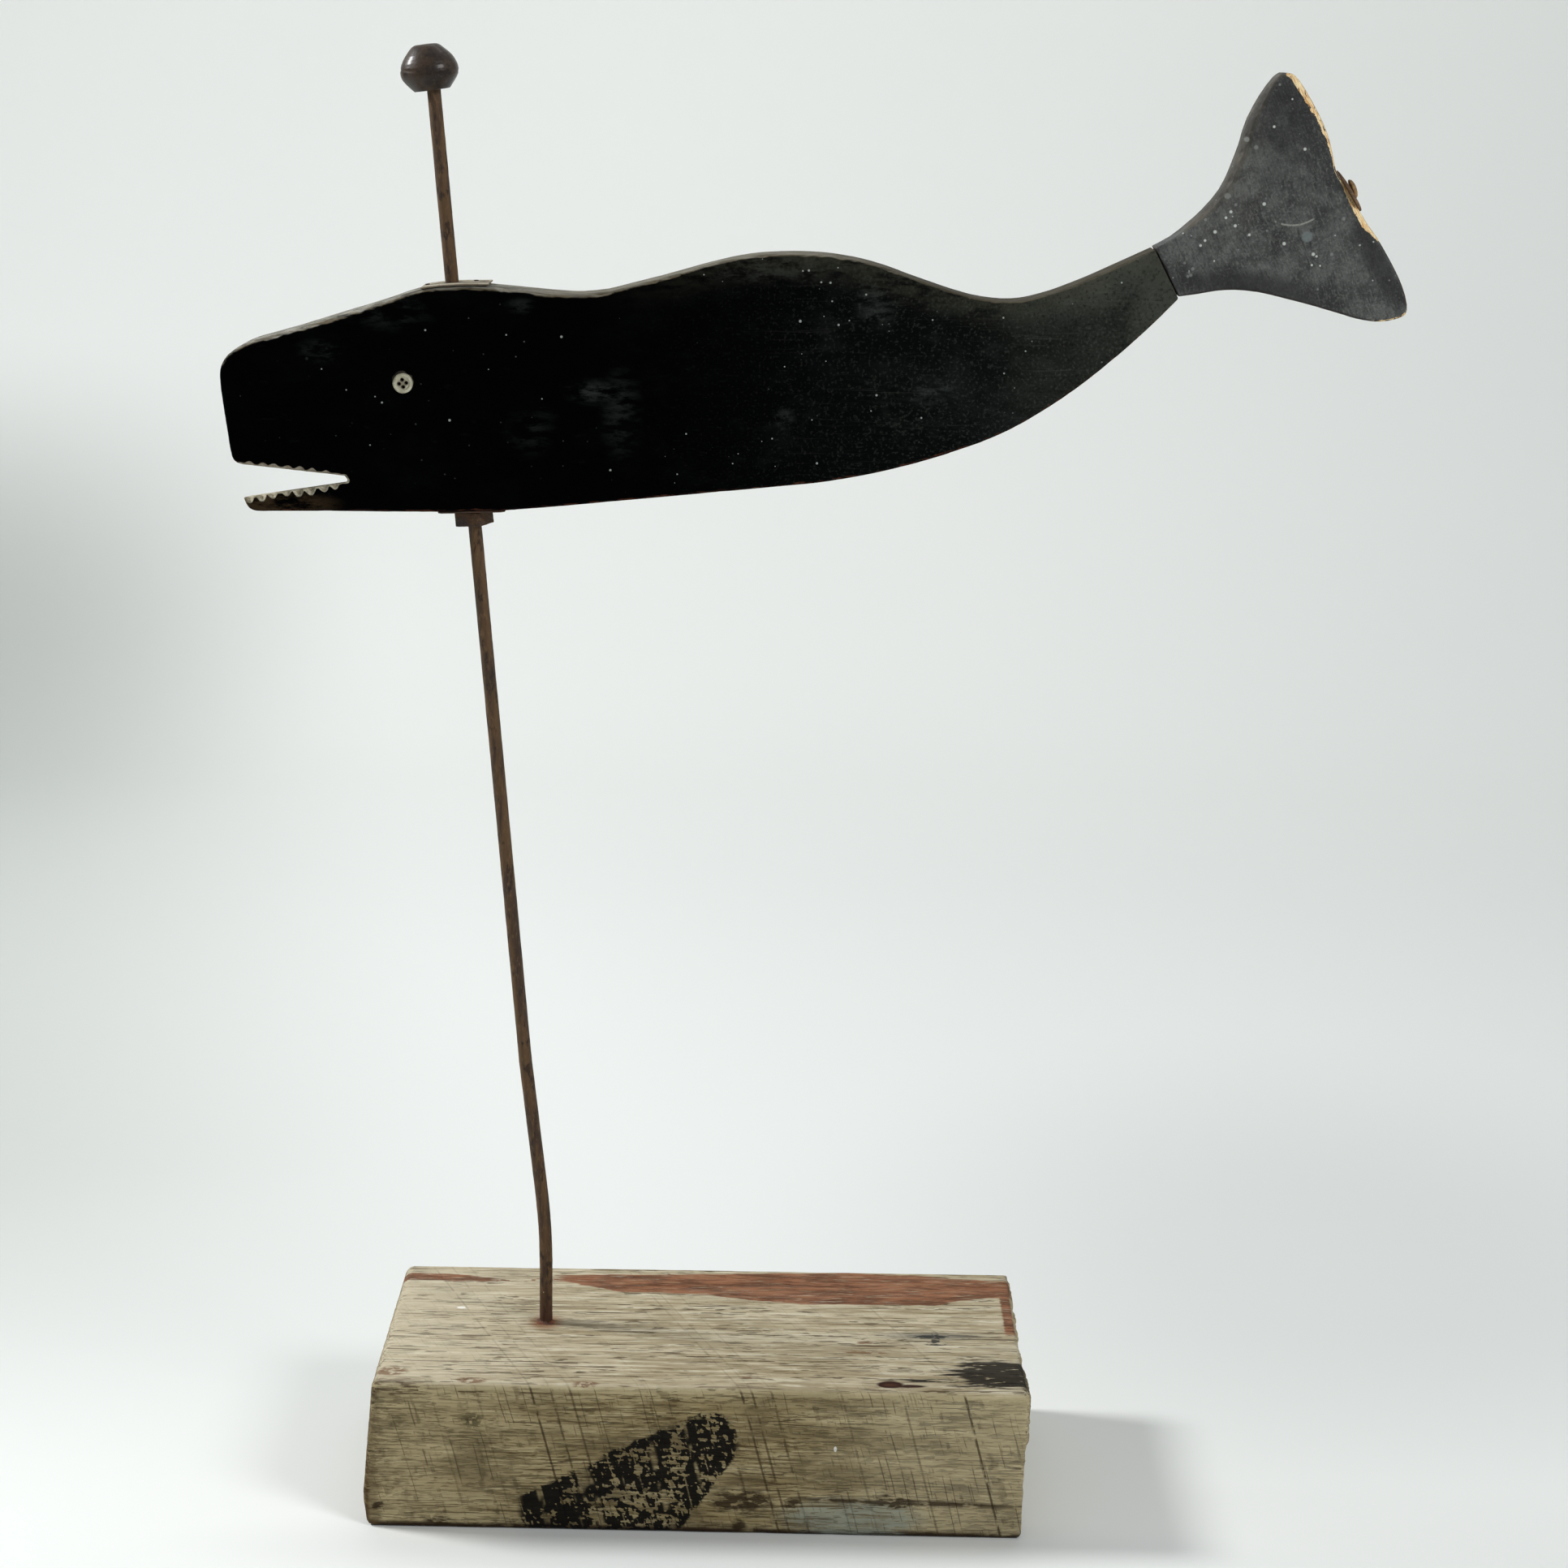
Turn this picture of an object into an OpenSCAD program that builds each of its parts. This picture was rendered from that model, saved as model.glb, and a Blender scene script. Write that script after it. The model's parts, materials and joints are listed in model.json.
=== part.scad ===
// Whale weathervane: a flat sperm whale sawn from board, with a separate tail fluke bolted on,
// turns on a bent iron rod that stands in a block of old timber. The origin is on the block's
// underside below the rod's foot, +Z is up, the whale's head points to -X and its left side to -Y.

/* [Timber block] */
// Length of the block along its top
block_l = 372; // [300:1:460]
// Depth of the block at its left end, front to back
block_w = 174; // [140:1:220]
// How far the middle of the block lies in front of the rod
block_set = 1; // [0:0.5:6]
// Height of the block
block_h = 89; // [80:1:130]
// Distance from the block's left end to the rod
block_left = 92; // [70:1:140]
// How far the left end bulges out near the floor
block_bulge = 6; // [2:0.5:10]
// How much deeper the block is at its right end than at its left
block_skew = 4; // [0:0.5:10]
// Radius of the block's worn top arrises
block_ease = 4; // [2:0.5:7]

/* [Rod] */
// Diameter of the iron rod
rod_d = 7.6; // [6:0.1:10]
// Depth of the hole in the block that the rod is driven into
socket_depth = 60; // [40:1:70]
// Height at which the rod first leaves the upright
knee_z = 148; // [140:1:170]
// Height at which it comes back to its final lean
elbow_z = 249; // [230:1:280]
// Lean of the straight upper rod, in degrees
rod_lean = 4.95; // [3:0.05:7]
// How much further the rod leans between the two bends, in degrees
overlean = 1.55; // [0.5:0.05:3]
// Radius of the lower bend
knee_r = 400; // [200:5:450]
// Distance up the straight rod from the upper bend to the whale's belly
hub_up = 322.5; // [260:0.5:400]
// Distance up the rod from the belly to the underside of the finial
finial_up = 226.6; // [190:1:280]

/* [Nut and finial] */
// Square nut across its flats
nut_af = 16; // [13:0.1:20]
// Thickness of the nut
nut_h = 7.6; // [5:0.1:10]
// Turn of the nut about the rod, in degrees
nut_turn = 24; // [0:1:45]
// Largest diameter of the finial knob
knob_d = 31.8; // [26:0.2:40]
// Height of the finial knob
knob_h = 24.4; // [20:0.2:32]
// Depth of the hole in the knob that takes the rod
knob_bore = 14; // [8:0.5:18]
// How far the knob sits askew on the rod, in degrees
knob_askew = 3.5; // [0:0.5:6]
// How far off its centre the knob was bored
knob_off = 0.7; // [0:0.1:2]

/* [Whale board] */
// Length of the whale's board from nose to tail joint
body_l = 520; // [460:1:600]
// Depth of the head from belly to crown at the rod
head_h = 123; // [105:1:140]
// Thickness of the board at the nose
nose_t = 30; // [24:0.5:38]
// Thickness of the board at the tail joint
wrist_t = 20; // [16:0.5:24]
// Slope of the belly under the bearing plate, in degrees
belly_slope = 2.2; // [0:0.1:3]
// Diameter of the hole that the rod passes through
bore_d = 9.5; // [8.5:0.1:12]
// How far the saw cut of the mouth dips towards the far side, in degrees
saw_dip = 6.5; // [0:0.5:7]

/* [Teeth] */
// Number of teeth cut in the lower jaw
lower_teeth = 8; // [4:1:9]
// Number of teeth cut in the upper jaw
upper_teeth = 7; // [4:1:8]
// Spacing of the teeth
tooth_pitch = 6.9; // [6:0.1:8]
// Width of a tooth cut at the arris
tooth_w = 5; // [3:0.1:6]
// Depth of the chips along the lower jaw's arris
lower_tooth_h = 4; // [2:0.1:4.5]
// Depth of the chips along the upper jaw's arris
upper_tooth_h = 2.3; // [1:0.1:3]

/* [Fluke] */
// Thickness of the fluke's board
fluke_t = 19; // [15:0.5:24]
// Open line between the fluke and the tail
joint_gap = 0.5; // [0.2:0.1:1]
// How far the fluke is rounded over along its leading edge
fluke_round = 5; // [2:0.5:7]

/* [Tail bolt] */
// Shank diameter of the long screw through the fluke
bolt_d = 6.4; // [5:0.1:6.8]
// Length of the shank under the head
bolt_l = 152; // [125:1:165]
// Slope of the screw, in degrees
bolt_angle = 22; // [21.5:0.5:24]
// Diameter of the screw's domed head
bolt_head_d = 11; // [9:0.1:13]
// Thickness of the screw's head
bolt_head_h = 2.8; // [2:0.1:4]
// Outer diameter of the flat washer
washer_d = 25.4; // [20:0.2:30]
// Hole of the flat washer
washer_hole = 8; // [7.8:0.1:9]
// Thickness of the flat washer
washer_t = 1.6; // [1:0.1:2.5]

/* [Bearing plates] */
// Length of each thin metal plate
plate_l = 37; // [32:0.5:44]
// Width of each plate across the board
plate_w = 26; // [18:0.5:28]
// Thickness of the sheet metal
plate_t = 1; // [0.6:0.1:1.6]
// Radial clearance of the rod in each plate's hole
bearing_gap = 0.1; // [0.05:0.01:0.1]
// Distance of each belly nail from the rod
belly_nail_x = 15; // [14.5:0.1:16]

/* [Small fittings] */
// Head diameter of the plate nails
nail_head_d = 2.8; // [2:0.1:3.4]
// Shank diameter of the plate nails
nail_d = 1.3; // [1:0.1:1.6]
// Length of the plate nails
nail_l = 14; // [8:0.5:20]
// Diameter of the button that makes each eye
button_d = 11; // [9:0.1:14]
// Thickness of the button
button_t = 2.4; // [1.6:0.1:3.2]
// Diameter of each of the button's sewing holes
button_hole_d = 1.7; // [1:0.1:2]
// Distance of the sewing holes from the button's centre
button_hole_r = 2; // [1.8:0.1:2.4]

/* [Hidden] */
$fn = 96;

// Clearances. Driven parts are a snug fit, and the whale is just clear of the nut.
snug = 0.05;
running_gap = 0.2;
over = 1;
bend_swell = 0.02;
bend_lap = 2;

// Size at which the whale's outline points below were drawn: they are stretched to body_l and head_h.
drawn_l = 520;
drawn_h = 123;
sx = body_l/drawn_l;
sz = head_h/drawn_h;

// The rod leaves the upright at the knee and meets its final line at the elbow
knee_angle = rod_lean + overlean;
elbow_x = -(elbow_z - knee_z)*tan(knee_angle);
knee_run = knee_r*tan(knee_angle/2);
straight_length = hub_up + finial_up + knob_bore;

// The nut stops below the belly plate by the amount that the plate dips as it turns
plate_tilt = rod_lean - belly_slope;
nut_reach = nut_af/sqrt(2);
nut_drop = plate_t/cos(plate_tilt) + nut_reach*tan(abs(plate_tilt)) + running_gap;

// Crown of the head: an arc that the top plate is bent to
crown_r = 135;
crown_x = -1*sx;
crown_z = head_h - crown_r;
crown_mid = -3;
crown_half = plate_l/2/crown_r*180/PI;
crown_from = crown_mid - crown_half;
crown_to = crown_mid + crown_half;
crown_steps = 12;

// Spacing of the points along a smooth outline, and steps round an eased arris
facet = 6;
ease_steps = 3;

function vec2(p) = [p[0], p[1]];
function span(a, b) = sqrt(norm(vec2(b) - vec2(a)));
function beyond(a, b) = 2*a - b;

// A smooth curve through four points, with even bends however the points are spaced
function blend_point(p0, p1, p2, p3, t) =
    let (
        d0 = span(p0, p1),
        d1 = span(p1, p2),
        d2 = span(p2, p3),
        m1 = d1*((p1 - p0)/d0 - (p2 - p0)/(d0 + d1) + (p2 - p1)/d1),
        m2 = d1*((p2 - p1)/d1 - (p3 - p1)/(d1 + d2) + (p3 - p2)/d2)
    )
    p1*(2*t*t*t - 3*t*t + 1) + m1*(t*t*t - 2*t*t + t)
        + p2*(3*t*t - 2*t*t*t) + m2*(t*t*t - t*t);

function smooth_run(p) = [
    for (i = [0:len(p) - 2])
        let (
            before = i > 0 ? p[i - 1] : beyond(p[0], p[1]),
            after = i < len(p) - 2 ? p[i + 2] : beyond(p[i + 1], p[i]),
            n = max(2, round(norm(vec2(p[i + 1]) - vec2(p[i]))/facet))
        )
        for (k = [0:n - 1])
            blend_point(before, p[i], p[i + 1], after, k/n),
    p[len(p) - 1]
];

function without_last(p) = [for (i = [0:len(p) - 2]) p[i]];
function without_first(p) = [for (i = [1:len(p) - 1]) p[i]];

// A closed outline of straight sides whose corners are [x, z, ease, corner radius]
function rounded_corner(a, p, b, steps) =
    let (
        u = (vec2(a) - vec2(p))/norm(vec2(a) - vec2(p)),
        v = (vec2(b) - vec2(p))/norm(vec2(b) - vec2(p)),
        half = acos(u*v)/2,
        run = p[3]/tan(half),
        centre = vec2(p) + (u + v)/norm(u + v)*p[3]/sin(half),
        from = vec2(p) + u*run - centre,
        to = vec2(p) + v*run - centre
    )
    [
        for (k = [0:steps])
            let (w = from*sin((90 - half)*2*(1 - k/steps)) + to*sin((90 - half)*2*k/steps))
            let (q = centre + w/sin((90 - half)*2))
            [q[0], q[1], p[2], 0]
    ];

function rounded_outline(corners, steps) =
    let (n = len(corners))
    [
        for (i = [0:n - 1])
            each rounded_corner(corners[(i + n - 1) % n], corners[i], corners[(i + 1) % n], steps)
    ];

// An outline at one angle round its eased arrises: each point moves in along its corner's mitre
// and back by its third value
function side_normal(a, b) =
    let (d = vec2(b) - vec2(a))
    [d[1], -d[0]]/norm(d);

function inset(p, angle) =
    let (n = len(p))
    [
        for (i = [0:n - 1])
            let (
                n1 = side_normal(p[(i + n - 1) % n], p[i]),
                n2 = side_normal(p[i], p[(i + 1) % n]),
                m = (n1 + n2)/(1 + n1*n2),
                flat = is_undef(p[i][4]) ? 0 : p[i][4],
                along = flat*(1 - angle/90) + (1 - flat)*(1 - sin(angle)),
                back = flat*angle/90 + (1 - flat)*(1 - cos(angle)),
                q = vec2(p[i]) + m*p[i][2]*along
            )
            [q[0], q[1], p[i][2]*back, p[i][3]]
    ];

// A clockwise outline p cut into triangles that all lie inside it, one corner at a time. ids are
// the corners still there. Every other corner goes first, so that few triangles are thin.
function turn(a, b, c) = (b[0] - a[0])*(c[1] - a[1]) - (b[1] - a[1])*(c[0] - a[0]);

function within(q, a, b, c) =
    q != a && q != b && q != c && turn(a, b, q) <= 0 && turn(b, c, q) <= 0 && turn(c, a, q) <= 0;

function is_free(p, ids, k) =
    let (
        n = len(ids),
        a = p[ids[(k + n - 1) % n]],
        b = p[ids[k]],
        c = p[ids[(k + 1) % n]]
    )
    turn(a, b, c) < 0 && len([for (i = ids) if (within(p[i], a, b, c)) i]) == 0;

function free_corner(p, ids, k = 0) =
    k == len(ids) - 1 || is_free(p, ids, k) ? k : free_corner(p, ids, k + 1);

function triangles(p, ids) =
    let (
        n = len(ids),
        k = n == 3 ? 1 : free_corner(p, ids),
        rest = [for (j = [2:n - 1]) ids[(k + j) % n], ids[(k + 1) % n]]
    )
    [
        [ids[(k + n - 1) % n], ids[k], ids[(k + 1) % n]],
        if (n > 3) each triangles(p, rest)
    ];

// A board seen along Y. The outline runs clockwise as seen from the front and its points are
// [x, z, ease, dip, flat]: ease rounds the arris over, or chamfers it where flat is 1, and dip is
// the share of the saw's slope that the cut has there. half_t gives half the thickness at x as
// [value at 0, change per mm], and back_more is the same for what the back has beyond that.
module eased_board(outline, half_t, back_more = [0, 0], slope = 0) {
    n = len(outline);
    layers = [
        for (k = [0:ease_steps]) [-1, 90*k/ease_steps],
        for (k = [0:ease_steps]) [1, 90 - 90*k/ease_steps]
    ];
    rings = [
        for (layer = layers)
            let (moved = inset(outline, layer[1]))
            for (q = moved)
                let (
                    front = -(half_t[0] + half_t[1]*q[0]),
                    back = half_t[0] + half_t[1]*q[0] + back_more[0] + back_more[1]*q[0],
                    y = layer[0] < 0 ? front + q[2] : back - q[2]
                )
                [q[0], y, q[1] - q[3]*(y - front)*tan(slope)]
    ];
    last = len(layers) - 1;
    function seen(k) = [for (i = [0:n - 1]) [rings[k*n + i][0], rings[k*n + i][2]]];
    faces = [
        each triangles(seen(0), [for (i = [0:n - 1]) i]),
        for (k = [0:last - 1])
            for (i = [0:n - 1])
                let (j = (i + 1) % n)
                each [
                    [k*n + i, (k + 1)*n + i, (k + 1)*n + j],
                    [k*n + i, (k + 1)*n + j, k*n + j]
                ],
        for (t = triangles(seen(last), [for (i = [0:n - 1]) i]))
            [last*n + t[2], last*n + t[1], last*n + t[0]]
    ];
    polyhedron(points = rings, faces = faces);
}

// Whale's outline, from the belly at the rod as [x, z, ease, dip]
function to_size(p) = [for (q = p) [q[0]*sx, q[1]*sz, q[2], q[3]]];

upper_lip = [-124, 24.2, 0.8, 1];
mouth_top = [-69, 18.8, 0.8, 1];
mouth_end = [-66.8, 15.6, 0.8, 1];
lower_lip = [-124.6, 6.2, 0.6, 1];
joint_top = [369.5, 148, 0.8, 0];
joint_bottom = [383.6, 121.6, 0.8, 0];

nose_to_crown = [
    upper_lip, [-128.2, 25.3, 0.8, 0], [-130.4, 28.4, 1, 0], [-132.4, 41, 1.2, 0],
    [-134.9, 59, 1.5, 0], [-136.1, 72, 1.8, 0], [-135.2, 78, 2, 0], [-131.3, 84, 2.2, 0],
    [-122.5, 89.8, 2.5, 0], [-111, 93.6, 3, 0], [-93, 98.9, 3, 0], [-71, 106, 3, 0],
    [-48.5, 113.2, 3, 0], [-35, 118, 3, 0]
];
crown_to_joint = [
    [29.5, 121, 3, 0], [47.5, 119.6, 3.2, 0], [61, 119.3, 3, 0], [74, 120.8, 2.5, 0],
    [87.5, 124.2, 2, 0], [109.5, 130.2, 1.8, 0], [129.5, 136, 1.8, 0], [151.5, 141, 1.8, 0],
    [173.5, 142.7, 1.8, 0], [195.5, 141.9, 1.8, 0], [217.5, 138, 1.8, 0], [239.5, 130.8, 1.8, 0],
    [261.5, 123.6, 1.6, 0], [278, 119.8, 1.6, 0], [294, 119, 1.6, 0], [309.5, 122.1, 1.6, 0],
    [331.5, 130.3, 1.6, 0], [353, 140.2, 1.4, 0], joint_top
];
joint_to_seat = [
    joint_bottom, [369.5, 107, 1, 0], [353, 91.4, 1.2, 0], [327.5, 70.3, 1.4, 0],
    [300.5, 52.5, 1.5, 0], [284, 44.2, 1.5, 0], [266.5, 37.4, 1.5, 0], [249, 31.7, 1.5, 0],
    [231, 26.6, 1.5, 0], [209, 21.6, 1.5, 0], [187, 18, 1.5, 0], [164.5, 15.6, 1.5, 0],
    [124.5, 11.4, 1.5, 0], [89, 7.7, 1.5, 0], [62.5, 4.9, 1.5, 0], [44.5, 3, 1.5, 0]
];
seat_to_jaw = [
    [-36, -0.9, 1.5, 0], [-80, -1, 1.5, 0], [-109, -1.4, 1.2, 0], [-117.4, -1.5, 1, 0],
    [-121.2, -0.2, 0.8, 0], [-123.4, 3, 0.6, 0.3], lower_lip
];

seat_half = plate_l/2 + over;
seat_ends = [for (x = [seat_half, -seat_half]) [x, x*tan(belly_slope), 1.5, 0]];
crown_arc = [
    for (k = [0:crown_steps])
        let (a = crown_from + (crown_to - crown_from)*k/crown_steps)
        [crown_x + crown_r*sin(a), crown_z + crown_r*cos(a), 3, 0]
];

// Teeth are cut by hand: each is a little off its place, and deeper or shallower than the next
first_lower_tooth = 2.9;
first_upper_tooth = 3.2;
tooth_wander = min(0.5, (tooth_pitch - tooth_w)/2);
tooth_vary = 0.15;

function uneven(k, turn) = sin(k*turn);

// A jaw's edge from lip to mouth: each tooth gap is a flat chamfer between two hardly eased points.
// There are no more teeth than the jaw has room for.
function tooth_gaps(lip, mouth, count, first, tooth_h) = [
    let (
        run = norm(vec2(mouth) - vec2(lip)),
        room = floor((run - first - tooth_w/2 - tooth_wander)/tooth_pitch) + 1
    )
    for (k = [0:min(count, room) - 1])
        let (
            mid = (first + k*tooth_pitch + tooth_wander*uneven(k, 137))/run,
            half = tooth_w/2/run,
            deep = tooth_h*(1 + tooth_vary*uneven(k, 97))
        )
        for (gap = [[mid - half, lip[2], 0], [mid, deep, 1], [mid + half, lip[2], 0]])
            let (q = lip + (mouth - lip)*gap[0])
            [q[0], q[1], gap[1], 1, gap[2]]
];

function backwards(p) = [for (i = [len(p) - 1:-1:0]) p[i]];

lips = to_size([lower_lip, mouth_end, upper_lip, mouth_top]);

body_outline = concat(
    without_last(smooth_run(concat(to_size(nose_to_crown), [crown_arc[0]]))),
    crown_arc,
    without_first(smooth_run(concat([crown_arc[crown_steps]], to_size(crown_to_joint)))),
    without_last(smooth_run(concat(to_size(joint_to_seat), [seat_ends[0]]))),
    [seat_ends[0]],
    smooth_run(concat([seat_ends[1]], to_size(seat_to_jaw))),
    tooth_gaps(lips[0], lips[1], lower_teeth, first_lower_tooth, lower_tooth_h),
    [lips[1], lips[3]],
    backwards(tooth_gaps(lips[2], lips[3], upper_teeth, first_upper_tooth, upper_tooth_h))
);

// Half thickness of the whale's board, as [value at the rod, change per mm towards the tail]
body_slope = (wrist_t - nose_t)/2/body_l;
nose_x = to_size(nose_to_crown)[5][0];
body_half = [nose_t/2 - body_slope*nose_x, body_slope];

function body_face(x) = body_half[0] + body_half[1]*x;

eye_at = to_size([[-36.4, 70, 0, 0]])[0];

// The top plate follows the crown up to this angle and runs on straight, so its end stands clear.
// A point on it is told by its run from there, and so are its nails: [run, y].
plate_leaves = -1.5;
plate_from = (crown_from - plate_leaves)*PI/180*crown_r;
crown_nails = [[-19.4, 0], [6.6, 5]];

function plate_angle(run) = plate_leaves + min(run, 0)*180/PI/crown_r;
function plate_point(run, lift) =
    let (
        a = plate_angle(run),
        off = [sin(a), cos(a)]
    )
    [crown_x, crown_z] + off*(crown_r + lift) + [off[1], -off[0]]*max(run, 0);

// Fluke's joint face: parallel to the whale's, and standing a little higher than the tail
joint_a = to_size([joint_top])[0];
joint_b = to_size([joint_bottom])[0];
joint_mid = (vec2(joint_a) + vec2(joint_b))/2;
joint_up = (vec2(joint_a) - vec2(joint_b))/norm(vec2(joint_a) - vec2(joint_b));
joint_out = [joint_up[1], -joint_up[0]];
fluke_rise = 0.6;

function joint_side(p, rise) = vec2(p) + joint_out*joint_gap + joint_up*rise - joint_mid;

// Fluke's outline from the middle of the joint as [x, z, ease, dip]. The washer's seat is straight.
seat_at = [96.4, 44.6];
seat_angle = 33.5;
seat_dir = [-sin(seat_angle), cos(seat_angle)];
seat_up = 14;
seat_down = 20;

leading_edge = [
    [2.9, 19.3, 1.5, 0], [11, 26.2, 3, 0], [19.3, 34.4, fluke_round, 0],
    [27.7, 45, fluke_round, 0], [35.2, 63.2, fluke_round, 0], [41, 83, fluke_round, 0],
    [47.1, 94.8, fluke_round - 1, 0], [54.3, 104.6, 2, 0], [57.6, 107.2, 1.5, 0]
];
upper_trailing_edge = [
    [57.6, 107.2, 1.5, 0], [62.5, 106.9, 2, 0], [66.3, 103.7, 2.8, 0], [70.3, 98.5, 3.4, 0],
    [78.1, 85.9, 3.4, 0], [82.5, 77.4, 3.2, 0], [85.4, 69.2, 2.6, 0], [87.1, 62.1, 1.8, 0]
];
lower_trailing_edge = [
    [112.7, 21.2, 2.2, 0], [119.3, 10.9, 1.5, 0], [123.9, 3.1, 1.5, 0], [127.8, -4.6, 1.5, 0],
    [131, -14.8, 1.2, 0], [130.4, -20, 1.2, 0], [124.3, -22.8, 1.2, 0], [117, -24, 1.2, 0],
    [108, -23.3, 1.5, 0], [99, -21.3, 1.5, 0], [81, -16.2, 1.5, 0], [63.5, -12, 1.5, 0],
    [50, -9.1, 1.5, 0], [37, -8.2, 1.5, 0], [28, -8.7, 1.5, 0], [18, -10.5, 1.2, 0]
];
seat_top = concat(seat_at + seat_dir*seat_up, [1.4, 0]);
seat_end = concat(seat_at - seat_dir*seat_down, [3, 0]);

fluke_outline = concat(
    without_last(smooth_run(concat([concat(joint_side(joint_a, fluke_rise), [0.8, 0])], leading_edge))),
    without_last(smooth_run(concat(upper_trailing_edge, [seat_top]))),
    [seat_top],
    smooth_run(concat([seat_end], lower_trailing_edge, [concat(joint_side(joint_b, 1), [0.8, 0])]))
);

// The tail bolt is not square to its washer, so its head stands off a little, and it sits high in
// the washer's hole
bolt_tilt = seat_angle - bolt_angle;
bolt_standoff = washer_t/cos(bolt_tilt) + bolt_head_d/2*tan(abs(bolt_tilt)) + snug;
bolt_slack = 0.3;
bolt_play = (washer_hole - bolt_d/cos(bolt_tilt) - washer_t*tan(abs(bolt_tilt)))/2;
bolt_up = 0.7*bolt_play;

// Frames: each places its children where the piece belongs
module spin_frame() {
    translate([elbow_x, 0, elbow_z])
        rotate([0, -rod_lean, 0])
            translate([0, 0, hub_up])
                children();
}

module whale_frame() {
    spin_frame()
        rotate([0, rod_lean, 0])
            children();
}

module fluke_frame() {
    whale_frame()
        translate([joint_mid[0], 0, joint_mid[1]])
            children();
}

module seat_frame(up, angle) {
    at = seat_at + seat_dir*up;
    translate([at[0], 0, at[1]])
        rotate([0, 90 - angle, 0])
            children();
}

module crown_nail_frame(nail) {
    at = plate_point(nail[0], plate_t);
    translate([at[0], nail[1], at[1]])
        rotate([0, plate_angle(nail[0]), 0])
            children();
}

module belly_nail_frame(side) {
    rotate([0, -belly_slope, 0])
        translate([side*belly_nail_x, 0, -plate_t])
            rotate([180, 0, 0])
                children();
}

module eye_frame() {
    translate([eye_at[0], -body_face(eye_at[0]), eye_at[1]])
        rotate([0, 0, -atan(body_half[1])])
            rotate([90, 0, 0])
                children();
}

// Cutters
module rod_hole(d) {
    rotate([0, -rod_lean, 0])
        cylinder(d = d, h = 3*head_h, center = true);
}

module nail_hole() {
    translate([0, 0, -nail_l - over])
        cylinder(d = nail_d + 2*snug, h = nail_l + 2*over);
}

module bolt_hole(d) {
    seat_frame(bolt_up, bolt_angle)
        translate([0, 0, -bolt_l])
            cylinder(d = d, h = bolt_l + washer_d);
}

// Pieces of the stand
module base_block() {
    left = -block_left;
    right = block_l - block_left;
    per_mm = block_skew/block_l;
    front_at_rod = block_w/2 + block_set + per_mm*block_left;
    back_at_rod = block_w/2 - block_set;
    corners = [
        [left - 0.6*block_bulge, 0, 2, 4],
        [left - block_bulge, 0.2*block_h, 3, 40],
        [left, block_h, block_ease, block_ease + 2],
        [right, block_h, block_ease, block_ease + 2],
        [right - 2.5, 0, 2, 4]
    ];
    color([0.72, 0.6, 0.46])
        difference() {
            eased_board(
                rounded_outline(corners, 6),
                [front_at_rod, per_mm],
                [back_at_rod - front_at_rod, -per_mm]
            );
            translate([0, 0, block_h - socket_depth])
                cylinder(d = rod_d + 2*snug, h = socket_depth + over);
        }
}

// Bent length of the rod: a many-sided sweep, a hair fatter than the round lengths it takes in
module bent_length() {
    sides = 24;
    steps = 6;
    r = (rod_d/2 + bend_swell)/cos(180/sides);
    path = [
        for (k = [0:steps])
            let (a = knee_angle*k/steps)
            [knee_r*(cos(a) - 1), knee_z - knee_run + knee_r*sin(a), a],
        [elbow_x, elbow_z, rod_lean + overlean/2],
        [elbow_x - 2*bend_lap*sin(rod_lean), elbow_z + 2*bend_lap*cos(rod_lean), rod_lean]
    ];
    last = len(path) - 1;
    points = [
        for (p = path)
            for (i = [0:sides - 1])
                let (t = 360*i/sides)
                [p[0] + r*cos(t)*cos(p[2]), r*sin(t), p[1] + r*cos(t)*sin(p[2])]
    ];
    faces = [
        [for (i = [0:sides - 1]) i],
        for (k = [0:last - 1])
            for (i = [0:sides - 1])
                let (j = (i + 1) % sides)
                each [
                    [k*sides + i, (k + 1)*sides + i, (k + 1)*sides + j],
                    [k*sides + i, (k + 1)*sides + j, k*sides + j]
                ],
        [for (i = [0:sides - 1]) (last + 1)*sides - 1 - i]
    ];
    polyhedron(points = points, faces = faces);
}

module spindle_rod() {
    foot_z = block_h - socket_depth;
    color([0.42, 0.3, 0.2])
        union() {
            translate([elbow_x, 0, elbow_z])
                rotate([0, -rod_lean, 0])
                    translate([0, 0, bend_lap])
                        cylinder(d = rod_d, h = straight_length - bend_lap);
            bent_length();
            translate([0, 0, foot_z])
                cylinder(d = rod_d, h = knee_z - knee_run + bend_lap - foot_z);
        }
}

module support_nut() {
    corner_left = 0.97;
    color([0.35, 0.22, 0.14])
        spin_frame()
            translate([0, 0, -nut_drop - nut_h])
                difference() {
                    intersection() {
                        rotate([0, 0, -nut_turn])
                            linear_extrude(height = nut_h)
                                square(nut_af, center = true);
                        cylinder(r = nut_reach*corner_left, h = nut_h);
                    }
                    translate([0, 0, -over])
                        cylinder(d = rod_d + 2*snug, h = nut_h + 2*over);
                }
}

// The knob's profile as [radius, height], and the size at which it was drawn
drawn_knob_d = 32.2;
drawn_knob_h = 25.4;
knob_profile = [
    [9.7, 0], [13.3, 4.2], [15.4, 7.2], [16.1, 10], [15.7, 13.4], [13.6, 17.9],
    [10.8, 21.4], [8.4, 23.9], [6.8, 25], [5.4, 25.4]
];

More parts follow.
